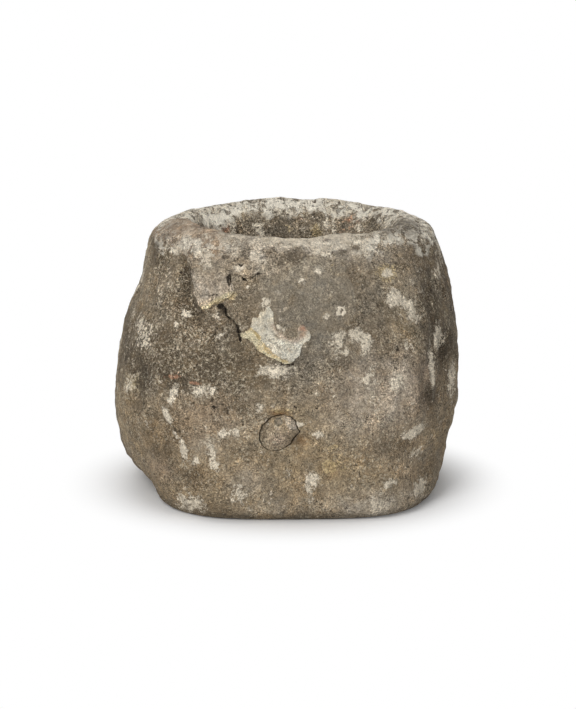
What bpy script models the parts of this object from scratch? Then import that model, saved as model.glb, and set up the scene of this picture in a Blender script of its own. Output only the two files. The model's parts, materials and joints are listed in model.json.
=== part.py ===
"""A limestone trough.

A rough-dressed block, square in plan with round corners, is hollowed from the top and has a drain hole low in
its front wall. A tapered bung stops the drain. Old mortar repairs lie in shallow beds in the rim and the front.

Metres, +Z up. The front faces -Y. The origin is on the ground, under the middle of the block.
A bearing is in degrees round the block: 0 is its right side, 90 its back, 180 its left and 270 its front.
"""

import math

import bmesh
import bpy
from mathutils import Vector, noise

# The block over its widest faces
block_width = 0.400
block_depth = 0.376
block_height = 0.318

# Heights of its levels, from the ground
arris_height = 0.012
heel_height = 0.028
belly_height = 0.055
waist_height = 0.132

# Levels under the top of the rim
breast_drop = 0.128
neck_drop = 0.070
shoulder_drop = 0.034
brow_drop = 0.014

# How far each level stands in from the widest line on the left, right, front and back
foot_set_in = (0.050, 0.038, 0.022, 0.040)
arris_set_in = (0.036, 0.027, 0.011, 0.028)
heel_set_in = (0.022, 0.022, 0.007, 0.018)
belly_set_in = (0.006, 0.015, 0.004, 0.010)
waist_set_in = (0.000, 0.001, 0.000, 0.000)
breast_set_in = (0.010, 0.006, 0.005, 0.005)
neck_set_in = (0.034, 0.017, 0.017, 0.016)
shoulder_set_in = (0.039, 0.026, 0.030, 0.026)
brow_set_in = (0.045, 0.032, 0.040, 0.036)

# The rim, measured in from the shoulder: its crest, the lip of its inner slope and its full thickness
crest_in = (0.046, 0.045, 0.027, 0.035)
lip_in = (0.055, 0.057, 0.045, 0.062)
rim_thickness = (0.064, 0.069, 0.062, 0.072)
lip_drop = 0.013
throat_drop = 0.036

# The hollow
floor_thickness = 0.082
floor_round = 0.020
wall_lean = 0.012
floor_set_in = 0.020

# How square the outlines are, where 2 is an ellipse
foot_squareness = 3.3
waist_squareness = 2.8
rim_squareness = 2.35
hollow_squareness = 2.15

# Wear of the rim: a bearing, and how far its crest lies under the highest point there
RIM_WEAR = [
    (0, 0.0035),
    (30, 0.0045),
    (55, 0.0045),
    (72, 0.0010),
    (82, 0.0035),
    (94, 0.0000),
    (120, 0.0045),
    (150, 0.0050),
    (185, 0.0040),
    (205, 0.0010),
    (230, 0.0010),
    (255, 0.0050),
    (280, 0.0055),
    (300, 0.0015),
    (335, 0.0030),
]

# The flute beside the mortar tongue, under the top
flute_drop = 0.050

# Hollows that the dressing left outside: bearing, height, half width in degrees, half height and depth.
# A depth under zero is a swelling.
HOLLOWS = {
    "flute under the left shoulder": (233, block_height - flute_drop, 6, 0.026, 0.009),
    "scoop in the right flank": (328, 0.150, 7, 0.055, 0.007),
    "cut front left foot": (214, 0.032, 19, 0.042, 0.013),
    "cut back left foot": (140, 0.015, 16, 0.060, 0.006),
    "cut front right foot": (320, 0.045, 10, 0.030, 0.006),
    "swelling on the left flank": (196, 0.105, 16, 0.040, -0.0015),
    "swelling of the right corner": (312, 0.165, 9, 0.060, -0.004),
    "flat of the lower front": (285, 0.060, 16, 0.035, 0.003),
    "scoop in the back": (75, 0.190, 15, 0.050, 0.008),
    "flat on the back right corner": (38, 0.110, 12, 0.080, 0.006),
    "gap under the front foot": (274, 0.004, 5, 0.010, 0.003),
}

# Pick marks and weather: wave length and height of each grade of unevenness
UNEVENNESS = [(0.110, 0.0040), (0.045, 0.0016)]
hollow_unevenness = 0.6

# The mesh of the block
segments = 72
outside_step = 0.016
inside_step = 0.024

# The drain hole and its bung
bung_radius = 0.0205
bung_taper = 0.045
bung_gap = 0.0004
bung_proud = 0.0020
bung_short = 0.006
bung_edge = 0.0025
bung_sides = 40
bore_overrun = 0.030
drain_rise = 0.003
drain_offset = -0.0085

# Mortar repairs: how deep each is bedded and how far it stands out
cap_depth = 0.008
cap_proud = 0.0015
fill_depth = 0.009
fill_proud = 0.0025
lime_depth = 0.006
lime_proud = 0.0038
chip_depth = 0.008
chip_proud = 0.0005
joint_gap = 0.0004

# The cap runs along the rim between these bearings, as far in as this distance outside the throat, and its
# outline reaches this far behind the middle
cap_start = 178
cap_end = 330
cap_lap = 0.006
cap_reach_back = 0.060
wedge_steps = 24

# Outlines on the front, anticlockwise: distance to the right of the middle, then distance under the top
CAP_OUTLINE = [
    (-0.230, -0.050),
    (-0.230, 0.019),
    (-0.140, 0.021),
    (-0.118, 0.027),
    (-0.108, 0.038),
    (-0.104, 0.056),
    (-0.101, 0.072),
    (-0.094, 0.078),
    (-0.083, 0.075),
    (-0.072, 0.073),
    (-0.063, 0.073),
    (-0.059, 0.066),
    (-0.058, 0.060),
    (-0.062, 0.052),
    (-0.061, 0.041),
    (-0.053, 0.0415),
    (-0.045, 0.044),
    (-0.037, 0.040),
    (-0.028, 0.038),
    (-0.014, 0.039),
    (-0.001, 0.037),
    (0.010, 0.031),
    (0.017, 0.023),
    (0.030, 0.020),
    (0.044, 0.019),
    (0.056, 0.016),
    (0.066, 0.010),
    (0.074, -0.050),
]
FILL_OUTLINE = [
    (-0.068, 0.030),
    (-0.068, 0.060),
    (-0.0655, 0.072),
    (-0.066, 0.083),
    (-0.058, 0.090),
    (-0.054, 0.097),
    (-0.051, 0.101),
    (-0.038, 0.105),
    (-0.022, 0.115),
    (-0.005, 0.122),
    (0.008, 0.118),
    (0.018, 0.106),
    (0.030, 0.104),
    (0.046, 0.108),
    (0.060, 0.104),
    (0.070, 0.090),
    (0.074, 0.073),
    (0.072, 0.056),
    (0.064, 0.038),
    (0.052, 0.010),
]
LIME_OUTLINE = [
    (-0.052, 0.102),
    (-0.040, 0.109),
    (-0.033, 0.117),
    (-0.025, 0.123),
    (-0.017, 0.127),
    (-0.008, 0.1315),
    (0.000, 0.1335),
    (0.007, 0.1305),
    (0.0135, 0.123),
    (0.0195, 0.113),
    (0.0265, 0.105),
    (0.023, 0.0985),
    (0.0175, 0.096),
    (0.009, 0.1055),
    (0.000, 0.1075),
    (-0.0065, 0.101),
    (-0.013, 0.0955),
    (-0.0155, 0.084),
    (-0.0235, 0.075),
    (-0.032, 0.0795),
    (-0.039, 0.0875),
    (-0.043, 0.099),
]
CHIP_OUTLINE = [
    (-0.0612, 0.0430),
    (-0.0600, 0.0495),
    (-0.0510, 0.0500),
    (-0.0485, 0.0470),
    (-0.0500, 0.0440),
    (-0.0540, 0.0420),
]
CHIP_BED_OUTLINE = [
    (-0.0655, 0.0420),
    (-0.0640, 0.0500),
    (-0.0625, 0.0530),
    (-0.0600, 0.0500),
    (-0.0508, 0.0505),
    (-0.0455, 0.0495),
    (-0.0445, 0.0465),
    (-0.0495, 0.0433),
    (-0.0540, 0.0415),
    (-0.0615, 0.0405),
]

# Colours: red, green, blue
STONE_COLOUR = (0.150, 0.125, 0.098)
CAP_COLOUR = (0.370, 0.320, 0.260)
FILL_COLOUR = (0.165, 0.145, 0.120)
LIME_COLOUR = (0.520, 0.460, 0.330)
CHIP_COLOUR = (0.170, 0.150, 0.125)
BUNG_COLOUR = (0.220, 0.180, 0.145)


def clear_scene():
    for old in list(bpy.data.objects):
        bpy.data.objects.remove(old)


def stone_like(name, colour):
    """A dry mineral finish."""
    finish = bpy.data.materials.new(name)
    finish.use_nodes = True
    shader = finish.node_tree.nodes["Principled BSDF"]
    shader.inputs["Base Color"].default_value = (*colour, 1.0)
    shader.inputs["Roughness"].default_value = 0.95
    shader.inputs["Metallic"].default_value = 0.0
    return finish


def object_from(name, bm, finish=None):
    """Makes the bmesh an object, and frees it."""
    mesh = bpy.data.meshes.new(name)
    bm.to_mesh(mesh)
    bm.free()
    made = bpy.data.objects.new(name, mesh)
    bpy.context.scene.collection.objects.link(made)
    if finish:
        mesh.materials.append(finish)
    return made


def as_tool(made):
    """A guide or cutter, which isn't part of the object."""
    made.hide_render = True
    made.display_type = "WIRE"
    return made


def boolean(made, operation, other):
    step = made.modifiers.new(f"{operation.lower()} {other.name}", "BOOLEAN")
    step.operation = operation
    step.solver = "EXACT"
    step.object = other


def inward(reach, by):
    return tuple(r - b for r, b in zip(reach, by))


def levels():
    """The block's level lines from its foot up the outside, over the rim and down to the floor of its hollow:
    height, reach to the left, right, front and back, and squareness."""
    widest = (block_width / 2, block_width / 2, block_depth / 2, block_depth / 2)
    shoulder = inward(widest, shoulder_set_in)
    throat = inward(shoulder, rim_thickness)
    floor_edge = tuple(r - wall_lean for r in throat)
    floor = tuple(r - floor_set_in for r in floor_edge)
    top = block_height
    depth = top - throat_drop - floor_thickness - floor_round
    rim, hollow = rim_squareness, hollow_squareness
    return [
        (0.0, inward(widest, foot_set_in), foot_squareness),
        (arris_height, inward(widest, arris_set_in), foot_squareness),
        (heel_height, inward(widest, heel_set_in), foot_squareness),
        (belly_height, inward(widest, belly_set_in), waist_squareness),
        (waist_height, inward(widest, waist_set_in), waist_squareness),
        (top - breast_drop, inward(widest, breast_set_in), waist_squareness),
        (top - neck_drop, inward(widest, neck_set_in), (waist_squareness + rim) / 2),
        (top - shoulder_drop, shoulder, rim),
        (top - brow_drop, inward(widest, brow_set_in), rim),
        (top, inward(shoulder, crest_in), rim),
        (top - lip_drop, inward(shoulder, lip_in), (rim + hollow) / 2),
        (top - throat_drop, throat, hollow),
        (floor_thickness + floor_round + depth / 2, tuple(r - wall_lean / 2 for r in throat), hollow),
        (floor_thickness + floor_round, floor_edge, hollow),
        (floor_thickness, floor, hollow),
    ]


def between(a, b, c, d, t):
    """The smooth curve through four values, at share t of the way from the second to the third."""
    return 0.5 * (2 * b + (c - a) * t + (2 * a - 5 * b + 4 * c - d) * t**2 + (3 * b - a - 3 * c + d) * t**3)


def courses():
    """The levels with the smooth courses between them, as rows of height, four reaches and squareness."""
    rows = [(height, *reach, squareness) for height, reach, squareness in levels()]
    crest = max(range(len(rows)), key=lambda i: rows[i][0])
    found = []
    for i in range(len(rows) - 1):
        near = [rows[max(i - 1, 0)], rows[i], rows[i + 1], rows[min(i + 2, len(rows) - 1)]]
        span = math.dist(rows[i][:2], rows[i + 1][:2])
        count = max(1, round(span / (outside_step if i < crest else inside_step)))
        found += [tuple(between(*values, k / count) for values in zip(*near)) for k in range(count)]
    return [*found, rows[-1]]


def point_on(course, bearing):
    """Where a bearing meets a course."""
    height, left, right, front, back, squareness = course
    cosine, sine = math.cos(bearing), math.sin(bearing)
    across = abs(cosine) / (right if cosine > 0 else left)
    along = abs(sine) / (back if sine > 0 else front)
    reach = (across**squareness + along**squareness) ** (-1 / squareness)
    return Vector((reach * cosine, reach * sine, height))


def rim_wear(bearing):
    """How far the crest lies under its highest point, smoothly between the bearings of RIM_WEAR."""
    ends = [*RIM_WEAR, *[(b + 360, drop) for b, drop in RIM_WEAR[:3]]]
    ends = [(RIM_WEAR[-1][0] - 360, RIM_WEAR[-1][1]), *ends]
    for i in range(1, len(ends) - 2):
        (start, _), (end, _) = ends[i], ends[i + 1]
        if start <= bearing < end:
            return between(*[drop for _, drop in ends[i - 1 : i + 3]], (bearing - start) / (end - start))
    return RIM_WEAR[0][1]


def eased(value, low, high):
    """0 below low, 1 above high, and smooth between."""
    share = min(1.0, max(0.0, (value - low) / (high - low)))
    return share * share * (3 - 2 * share)


def hollowed(bearing, height):
    """How deep the dressing's hollows are at a place on the outside."""
    deep = 0.0
    for centre, level, half_width, half_height, depth in HOLLOWS.values():
        away = (bearing - centre + 180) % 360 - 180
        deep += depth * math.exp(-((away / half_width) ** 2) - ((height - level) / half_height) ** 2)
    return deep


def uneven(place):
    return sum(height * noise.noise(place / length) for length, height in UNEVENNESS)


def block_form(offset=0.0):
    """The hollowed block with its wear, as a bmesh. Above the belly its whole surface is moved out by offset."""
    rows = courses()
    bm = bmesh.new()
    loops = []
    for row in rows:
        ring = [bm.verts.new(point_on(row, math.tau * k / segments)) for k in range(segments)]
        loops.append([bm.edges.new((ring[k - 1], ring[k])) for k in range(segments)])
    for lower, upper in zip(loops, loops[1:]):
        bmesh.ops.bridge_loops(bm, edges=lower + upper)
    for loop in (loops[0], loops[-1]):
        bmesh.ops.contextual_create(bm, geom=loop)
    bmesh.ops.recalc_face_normals(bm, faces=bm.faces)
    wear_surface(bm)
    bmesh.ops.triangulate(bm, faces=bm.faces, ngon_method="BEAUTY")
    if offset:
        bm.normal_update()
        shifts = [(v, v.normal * offset * eased(v.co.z, heel_height, belly_height)) for v in bm.verts]
        for v, shift in shifts:
            v.co += shift
    return bm


def wear_surface(bm):
    """Moves the surface in and out by the wear and the dressing. The foot and the floor of the hollow stay flat."""
    bm.normal_update()
    shifts = []
    for v in bm.verts:
        bearing = math.degrees(math.atan2(v.co.y, v.co.x)) % 360
        outwards = v.normal.x * v.co.x + v.normal.y * v.co.y > 0
        crest = eased(v.co.z, block_height - neck_drop, block_height - lip_drop)
        if outwards:
            free = eased(v.co.z, 0.0, arris_height)
            rough = free * (uneven(v.co) - hollowed(bearing, v.co.z) * (1 - crest))
        else:
            free = eased(v.co.z, floor_thickness, floor_thickness + 2 * floor_round)
            rough = free * hollow_unevenness * uneven(v.co)
        rough *= 1 - crest
        shifts.append((v, v.normal * rough - Vector((0, 0, crest * rim_wear(bearing)))))
    for v, shift in shifts:
        v.co += shift


def skin(name, offset):
    """The block's form grown or shrunk, for cutting what lies in its surface."""
    return as_tool(object_from(name, block_form(offset)))


def front_prism(outline, back, swell=0.0):
    """A prism on an outline drawn on the front, from well before the block to a given Y."""
    bm = bmesh.new()
    corners = [bm.verts.new((x, -block_depth, block_height - drop)) for x, drop in outline]
    near = bm.faces.new(corners)
    far = bmesh.ops.extrude_face_region(bm, geom=[near])["geom"]
    for v in (g for g in far if isinstance(g, bmesh.types.BMVert)):
        v.co.y = back
    bmesh.ops.recalc_face_normals(bm, faces=bm.faces)
    grow(bm, swell)
    return bm


def rim_wedge(swell=0.0):
    """A prism over the stretch of rim that the mortar cap covers, from just outside the throat outwards."""
    throat = next(level for level in levels() if level[0] == block_height - throat_drop)
    inner = (throat[0], *[reach + cap_lap for reach in throat[1]], throat[2])
    turn = (cap_end - cap_start) / wedge_steps
    bearings = [math.radians(cap_start + turn * k) for k in range(wedge_steps + 1)]
    near = [point_on(inner, b).xy for b in bearings]
    far = [place.normalized() * block_width for place in reversed(near)]
    bm = bmesh.new()
    foot = bm.faces.new([bm.verts.new((*place, 0.5 * block_height)) for place in near + far])
    top = bmesh.ops.extrude_face_region(bm, geom=[foot])["geom"]
    for v in (g for g in top if isinstance(g, bmesh.types.BMVert)):
        v.co.z = 1.5 * block_height
    bmesh.ops.recalc_face_normals(bm, faces=bm.faces)
    grow(bm, swell)
    return bm


def grow(bm, by):
    """Moves every face of a prism outwards by the same distance."""
    bm.normal_update()
    shifts = [(v, v.normal * v.calc_shell_factor() * by) for v in bm.verts]
    for v, shift in shifts:
        v.co += shift


def mid_wall():
    """Y of the middle of the front wall at the rim."""
    return shoulder_set_in[2] + rim_thickness[2] / 2 - block_depth / 2


def cap_form(name, swell=0.0, finish=None):
    """The cap's outline on the front, held to its stretch of rim."""
    made = object_from(name, front_prism(CAP_OUTLINE, cap_reach_back, swell), finish)
    boolean(made, "INTERSECT", as_tool(object_from(f"{name} wedge", rim_wedge(swell))))
    return made


def front_form(name, outline, swell=0.0, finish=None):
    return object_from(name, front_prism(outline, mid_wall(), swell), finish)


def bed_in(made, proud, depth):
    """Gives a repair the face and back that follow the block."""
    boolean(made, "INTERSECT", skin(f"{made.name} face", proud))
    boolean(made, "DIFFERENCE", skin(f"{made.name} back", -depth))


def bed_tool(made, depth):
    """Makes a swollen form the tool that cuts its bed in the stone."""
    boolean(made, "DIFFERENCE", skin(f"{made.name} floor", -depth - joint_gap))
    return as_tool(made)


def drain_height():
    """Height of the drain's axis: its hole starts just over the floor of the hollow."""
    return floor_thickness + drain_rise + bung_radius


def wall_at_drain():
    """Where the front wall starts and ends on the drain's axis: the outer and the inner Y."""
    rows = courses()
    crest = max(range(len(rows)), key=lambda i: rows[i][0])
    outer, inner = rows[:crest], rows[crest:]
    height = drain_height()

    def meets(side):
        below = [row for row in side if row[0] <= height]
        above = [row for row in side if row[0] > height]
        a, b = max(below, key=lambda row: row[0]), min(above, key=lambda row: row[0])
        share = (height - a[0]) / (b[0] - a[0])
        return -(a[3] + (b[3] - a[3]) * share)

    return meets(outer), meets(inner)


def turned(profile, sides):
    """A closed form turned on the drain's axis, from (distance along Y, radius) pairs that run from front to back."""
    bm = bmesh.new()
    corners = [bm.verts.new((radius, along, 0.0)) for along, radius in profile]
    edges = [bm.edges.new(pair) for pair in zip(corners, corners[1:])]
    bmesh.ops.spin(
        bm,
        geom=corners + edges,
        cent=(0, 0, 0),
        axis=(0, 1, 0),
        angle=math.tau,
        steps=sides,
        use_merge=True,
    )
    bmesh.ops.remove_doubles(bm, verts=bm.verts, dist=1e-6)
    bmesh.ops.holes_fill(bm, edges=[e for e in bm.edges if e.is_boundary], sides=0)
    bmesh.ops.recalc_face_normals(bm, faces=bm.faces)
    return bm


def bung_profile():
    """The bung from its domed face to its small end."""
    outer, inner = wall_at_drain()
    face = outer - bung_proud
    length = inner - outer + bung_proud - bung_short
    small = bung_radius - bung_taper * length
    return [
        (face - 0.6 * bung_edge, 0.45 * bung_radius),
        (face, 0.80 * bung_radius),
        (face + 0.35 * bung_edge, bung_radius - 0.45 * bung_edge),
        (face + bung_edge, bung_radius),
        (face + length - bung_edge, small + bung_taper * bung_edge),
        (face + length, small - bung_edge),
    ]


def bore_profile():
    """The drain hole, which follows the bung's taper and runs out past both faces of the wall."""
    outer, inner = wall_at_drain()
    start, end = outer - bore_overrun, inner + bore_overrun

    def radius(along):
        return bung_radius - bung_taper * (along - (outer - bung_proud + bung_edge)) + bung_gap

    return [(start, radius(start)), (end, radius(end))]


def drain_bung(finish):
    made = object_from("drain_plug", turned(bung_profile(), bung_sides), finish)
    made.location = (drain_offset, 0.0, drain_height())
    return made


def drain_bore():
    made = as_tool(object_from("drain bore", turned(bore_profile(), bung_sides)))
    made.location = (drain_offset, 0.0, drain_height())
    return made


def build():
    clear_scene()
    block = object_from("stone_block", block_form(), stone_like("limestone", STONE_COLOUR))
    cap = cap_form("rim_mortar_cap", finish=stone_like("rim mortar", CAP_COLOUR))
    fill = front_form("front_mortar_fill", FILL_OUTLINE, finish=stone_like("grey mortar", FILL_COLOUR))
    lime = front_form("lime_mortar_patch", LIME_OUTLINE, finish=stone_like("lime mortar", LIME_COLOUR))
    chip = front_form("packing_chip", CHIP_OUTLINE, finish=stone_like("chip stone", CHIP_COLOUR))
    bed_in(cap, cap_proud, cap_depth)
    bed_in(fill, fill_proud, fill_depth)
    bed_in(lime, lime_proud, lime_depth)
    bed_in(chip, chip_proud, chip_depth)
    cap_room = as_tool(cap_form("cap room", joint_gap))
    cap_bed = bed_tool(cap_form("cap bed", joint_gap), cap_depth)
    fill_bed = bed_tool(front_form("fill bed", FILL_OUTLINE, joint_gap), fill_depth)
    lime_bed = bed_tool(front_form("lime bed", LIME_OUTLINE, joint_gap), lime_depth)
    chip_bed = bed_tool(front_form("chip bed", CHIP_BED_OUTLINE), chip_depth)
    for tool in (cap_room, lime_bed, chip_bed):
        boolean(fill, "DIFFERENCE", tool)
    boolean(cap, "DIFFERENCE", chip_bed)
    for tool in (cap_bed, fill_bed, lime_bed, chip_bed, drain_bore()):
        boolean(block, "DIFFERENCE", tool)
    drain_bung(stone_like("bung mortar", BUNG_COLOUR))


build()
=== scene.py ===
"""The looks of a limestone trough: a worn stone block with old mortar repairs and a bung in its drain.

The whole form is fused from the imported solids, weathered as one surface, and then parted along the borders
of its repairs, so that stone and mortar meet as they do on the real one. +Z is up and the front faces -Y.
All is in metres, but the tables of places on the trough are written in millimetres and read as metres.
"""

import json
import math
import bmesh
import bpy
import numpy as np
from bpy.props import FloatProperty, FloatVectorProperty, PointerProperty
from bpy.types import Operator, Panel, PropertyGroup
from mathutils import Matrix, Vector, noise
from mathutils.bvhtree import BVHTree

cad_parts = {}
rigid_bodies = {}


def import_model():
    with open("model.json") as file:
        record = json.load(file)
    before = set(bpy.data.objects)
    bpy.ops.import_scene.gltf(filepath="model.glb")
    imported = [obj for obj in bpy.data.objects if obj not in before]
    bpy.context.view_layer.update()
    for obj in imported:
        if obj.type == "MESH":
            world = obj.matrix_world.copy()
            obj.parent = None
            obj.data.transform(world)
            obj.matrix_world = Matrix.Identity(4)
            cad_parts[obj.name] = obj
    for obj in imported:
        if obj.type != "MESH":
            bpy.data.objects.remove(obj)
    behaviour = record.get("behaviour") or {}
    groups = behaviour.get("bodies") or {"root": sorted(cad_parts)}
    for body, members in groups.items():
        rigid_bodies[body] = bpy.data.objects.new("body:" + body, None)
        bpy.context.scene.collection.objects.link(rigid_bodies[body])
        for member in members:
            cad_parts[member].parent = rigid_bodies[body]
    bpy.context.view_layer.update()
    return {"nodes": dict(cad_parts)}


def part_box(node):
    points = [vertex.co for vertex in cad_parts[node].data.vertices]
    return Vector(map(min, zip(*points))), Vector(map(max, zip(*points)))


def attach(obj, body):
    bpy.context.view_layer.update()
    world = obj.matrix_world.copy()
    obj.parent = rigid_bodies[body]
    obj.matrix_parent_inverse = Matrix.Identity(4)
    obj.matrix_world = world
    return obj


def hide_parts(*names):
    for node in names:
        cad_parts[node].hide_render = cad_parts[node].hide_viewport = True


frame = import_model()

bl_info = {
    "name": "Limestone trough",
    "version": (1, 0, 0),
    "blender": (4, 5, 0),
    "location": "3D View > Sidebar > Trough",
    "description": "Builds a weathered limestone trough with its mortar repairs and drain bung",
    "category": "Object",
}

BLOCK_TOP = 0.318
HOLLOW_FLOOR = 0.082
BED_DEPTH = 0.0085
BUNG_LOW, BUNG_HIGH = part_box("drain_plug")
DRAIN_X = (BUNG_LOW.x + BUNG_HIGH.x) / 2
DRAIN_Z = (BUNG_LOW.z + BUNG_HIGH.z) / 2
BUNG_RADIUS = (BUNG_HIGH.x - BUNG_LOW.x) / 2
BUNG_TAPER = 0.045


def in_metres(drawn):
    """A number of millimetres as metres, or each number in a nest of them."""
    if isinstance(drawn, (list, tuple)):
        return [in_metres(value) for value in drawn]
    return round(drawn / 1000, 7)


def named_in_metres(drawn):
    """The same for things with names."""
    return {name: in_metres(value) for name, value in drawn.items()}


def marks_in_metres(others, rows):
    """The same for rows whose last few values are no lengths, such as a tilt or a strength."""
    return [(*in_metres(row[:-others]), *row[-others:]) for row in rows]


# The bung's uneven edge: at each bearing on its face, its reach as a share of its radius, and the gap beside
# it as a share of the usual gap
BUNG_EDGE = [
    (4, 1.05, 1.0), (15, 0.955, 1.1), (27, 0.935, 0.9), (37, 1.03, 1.1), (50, 1.05, 0.9), (63, 1.06, 0.6),
    (77, 1.055, 0.4), (84, 0.995, 0.8), (95, 0.975, 1.0), (107, 1.01, 0.7), (121, 1.035, 0.8),
    (134, 0.965, 0.8), (147, 0.995, 0.7), (158, 1.055, 1.1), (172, 1.075, 0.6), (185, 1.1, 0.8),
    (197, 1.145, 0.9), (212, 1.17, 0.6), (228, 1.14, 0.9), (242, 1.11, 0.4), (254, 1.03, 0.3),
    (267, 0.93, 0.4), (283, 0.84, 0.3), (303, 0.8, 0.6), (321, 0.8, 0.8), (337, 0.77, 1.0),
    (352, 0.85, 1.0),
]

# Outlines on the front: distance to the right of the middle, then distance under the top
CAP_OUTLINE = in_metres([
    (-230, -50), (-230, 19), (-170, 18), (-140, 20), (-124, 23), (-114, 26.5), (-107, 33), (-104.5, 44),
    (-103, 56), (-101, 66), (-95.5, 74.5), (-90, 78), (-82, 73.5), (-74, 69), (-66, 65.5), (-60, 61),
    (-58, 56), (-60, 51), (-63.2, 46.5), (-61, 42), (-53, 41), (-45, 44), (-38, 40.2), (-29.6, 37.6),
    (-21.2, 40.5), (-12, 39.3), (-0.3, 37.1), (3.9, 33.1), (10.2, 31.2), (15.3, 25.5), (17.5, 22.4),
    (30.1, 20.5), (43.7, 18.7), (54.3, 16.9), (66, 11), (74, -50),
])
FILL_OUTLINE = in_metres([
    (-68, 30), (-68.5, 60), (-70.5, 74.5), (-67.2, 84.5), (-59, 89.7), (-54.2, 97.1), (-52.5, 103),
    (-38, 106), (-22, 115), (-5, 122), (8, 118), (18, 106), (30, 104), (46, 108), (60, 104), (70, 90),
    (74, 73), (72, 56), (64, 38), (52, 10),
])
LIME_OUTLINE = in_metres([
    (-52.1, 102.4), (-48.1, 100.4), (-42.6, 98.3), (-40.5, 95.7), (-39.4, 91), (-39.1, 86.9),
    (-36.6, 84.8), (-32.7, 84.2), (-30.4, 79.5), (-26.2, 78), (-22.2, 74.4), (-18.3, 77.3), (-16, 83.1),
    (-15.7, 89.9), (-13.5, 94.8), (-11.1, 99.4), (-3.4, 103.7), (2.8, 107.4), (10.3, 103.9), (11.3, 96.9),
    (16.3, 93.5), (21.6, 98.2), (25.4, 103.6), (23.2, 108.6), (16.9, 112.1), (14.7, 118.7), (12.1, 125.1),
    (5.6, 131), (-0.4, 134), (-7.3, 132), (-14.3, 129), (-21.3, 126.1), (-27.2, 123.2), (-32.2, 120.3),
    (-35.4, 116.3), (-38.3, 112.2), (-43.1, 108), (-47.9, 106.9),
])
CHIP_BED_OUTLINE = in_metres([
    (-65.5, 42), (-64, 50), (-62.5, 53), (-60, 50), (-50.8, 50.5), (-45.5, 49.5), (-44.5, 46.5),
    (-49.5, 43.3), (-54, 41.5), (-61.5, 40.5),
])
CHIP_OUTLINE = in_metres([
    (-62.9, 40.7), (-62.2, 45), (-62, 50), (-60, 50.1), (-50.8, 50.6), (-45.4, 49.6), (-45, 47.8),
    (-49, 47.2), (-50.5, 44.8), (-50, 43.2), (-54, 41.3),
])

# The cap's stretch of rim: its first and last bearing, how far behind the middle it reaches, and its inner
# edge, as reaches to the left, right, front and back with the squareness of its corners
CAP_START, CAP_END = 178, 330
CAP_BACK = 0.060
CAP_INNER = (0.103, 0.111, 0.102, 0.096)
CAP_SQUARENESS = 2.15

# The cutters: prisms from before the block to behind the front's skin, and a wedge round the rim
PRISM_FRONT, PRISM_BACK = -0.250, -0.130
WEDGE_FOOT, WEDGE_TOP, WEDGE_REACH = 0.16, 0.48, 0.40
BORE_FRONT, BORE_BACK = -0.230, -0.080

# Cracks in the surface: points right of the middle and over the ground, then half width and depth
CRACKS = named_in_metres({
    "crack down the left of the grey fill": (
        [(-72.2, 245.5), (-70, 242), (-67.2, 233.5), (-59, 228.3), (-54.2, 220.9), (-52.1, 208.1)],
        1.2, 3.4,
    ),
    "void under the tongue": ([(-74.5, 243.2), (-70.5, 242.5), (-68, 239.5)], 2.2, 4.5),
    "slit beside the chip": ([(-65, 275), (-64.5, 270), (-64.1, 264.5)], 1.6, 4.4),
    "pit left of the bung": ([(-81.5, 133.5), (-78.5, 132.5)], 1.3, 3),
    "smaller pit beside it": ([(-85, 124.6), (-84.2, 124)], 1.1, 2.4),
    # The line under the lime is also a painted shadow line under the lime's raised edge
    "line under the lime": ([(-10, 183.2), (-3, 182.2), (6, 182.6)], 0.9, 1),
})

# Fainter lines, which show here and there along their way
HAIRLINES = named_in_metres({
    "line over the lip of the tongue": [(-90.5, 252), (-85, 254.8), (-79, 256.2), (-73.5, 256)],
    "line over the chip": [(-60, 286.6), (-56, 287.8), (-51.5, 286.2), (-49, 288.5)],
    "border right of the chip": [(-45, 270), (-40, 274.5), (-32, 279), (-25, 278.5)],
    "foot of the crack": [(-52.1, 208.1), (-51.2, 202), (-49.8, 196)],
    "line across the middle": [(6, 136), (20, 132), (33, 133), (42, 131)],
    "line down the right": [(113, 215), (118, 200), (124, 188)],
})
HAIRLINE_FAINTNESS = 0.0006  # how much farther off than it is a hairline counts
NARROW_CRACK = 0.0011  # the half width above which a crack's dark part is wider
CRACK_REACH = 0.02  # the farthest from a crack that is told apart

# Dents that the dressing and the weather left: right of the middle, height, half width, half height, depth,
# and tilt in degrees
DENTS = {
    "recess in the right flank": (157, 138, 9, 17, 6.5, 8),
    "recess over it": (172, 176, 8, 14, 3.5, 0),
    "ridge beside the recess": (143, 150, 4, 30, -2.5, 6),
    "scoop high on the right flank": (150, 262, 12, 22, 2.5, 10),
    "groove down the left flank": (-163, 158, 6, 22, 4.2, -8),
    "lower groove on the left flank": (-151, 108, 9, 24, 3.2, 10),
    "pit left of the middle": (-69, 131, 4, 4, 3, 0),
    "recess low on the left": (-86, 78, 6, 12, 3.4, -12),
    "shelf beside it": (-112, 95, 10, 20, 2.2, 25),
    "edge of the shelf": (-128, 112, 4, 24, -1.6, 25),
    "pit low on the right": (88, 68, 2.5, 2.5, 2.2, 0),
    "broken edge over the bung": (-10.5, 128.3, 9, 2.6, 2.2, 0),
    "recess right of the bung": (13, 97.5, 5.5, 5.5, 2.2, 0),
    "flat under the lime": (12, 172, 14, 8, 1.6, -20),
    "low place on the brow": (60, 294, 20, 6, 1.4, 0),
    "hollow low in the middle": (-20, 40, 24, 12, 1.6, 0),
    "flat low on the right": (120, 85, 16, 12, 2, -20),
}

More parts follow.
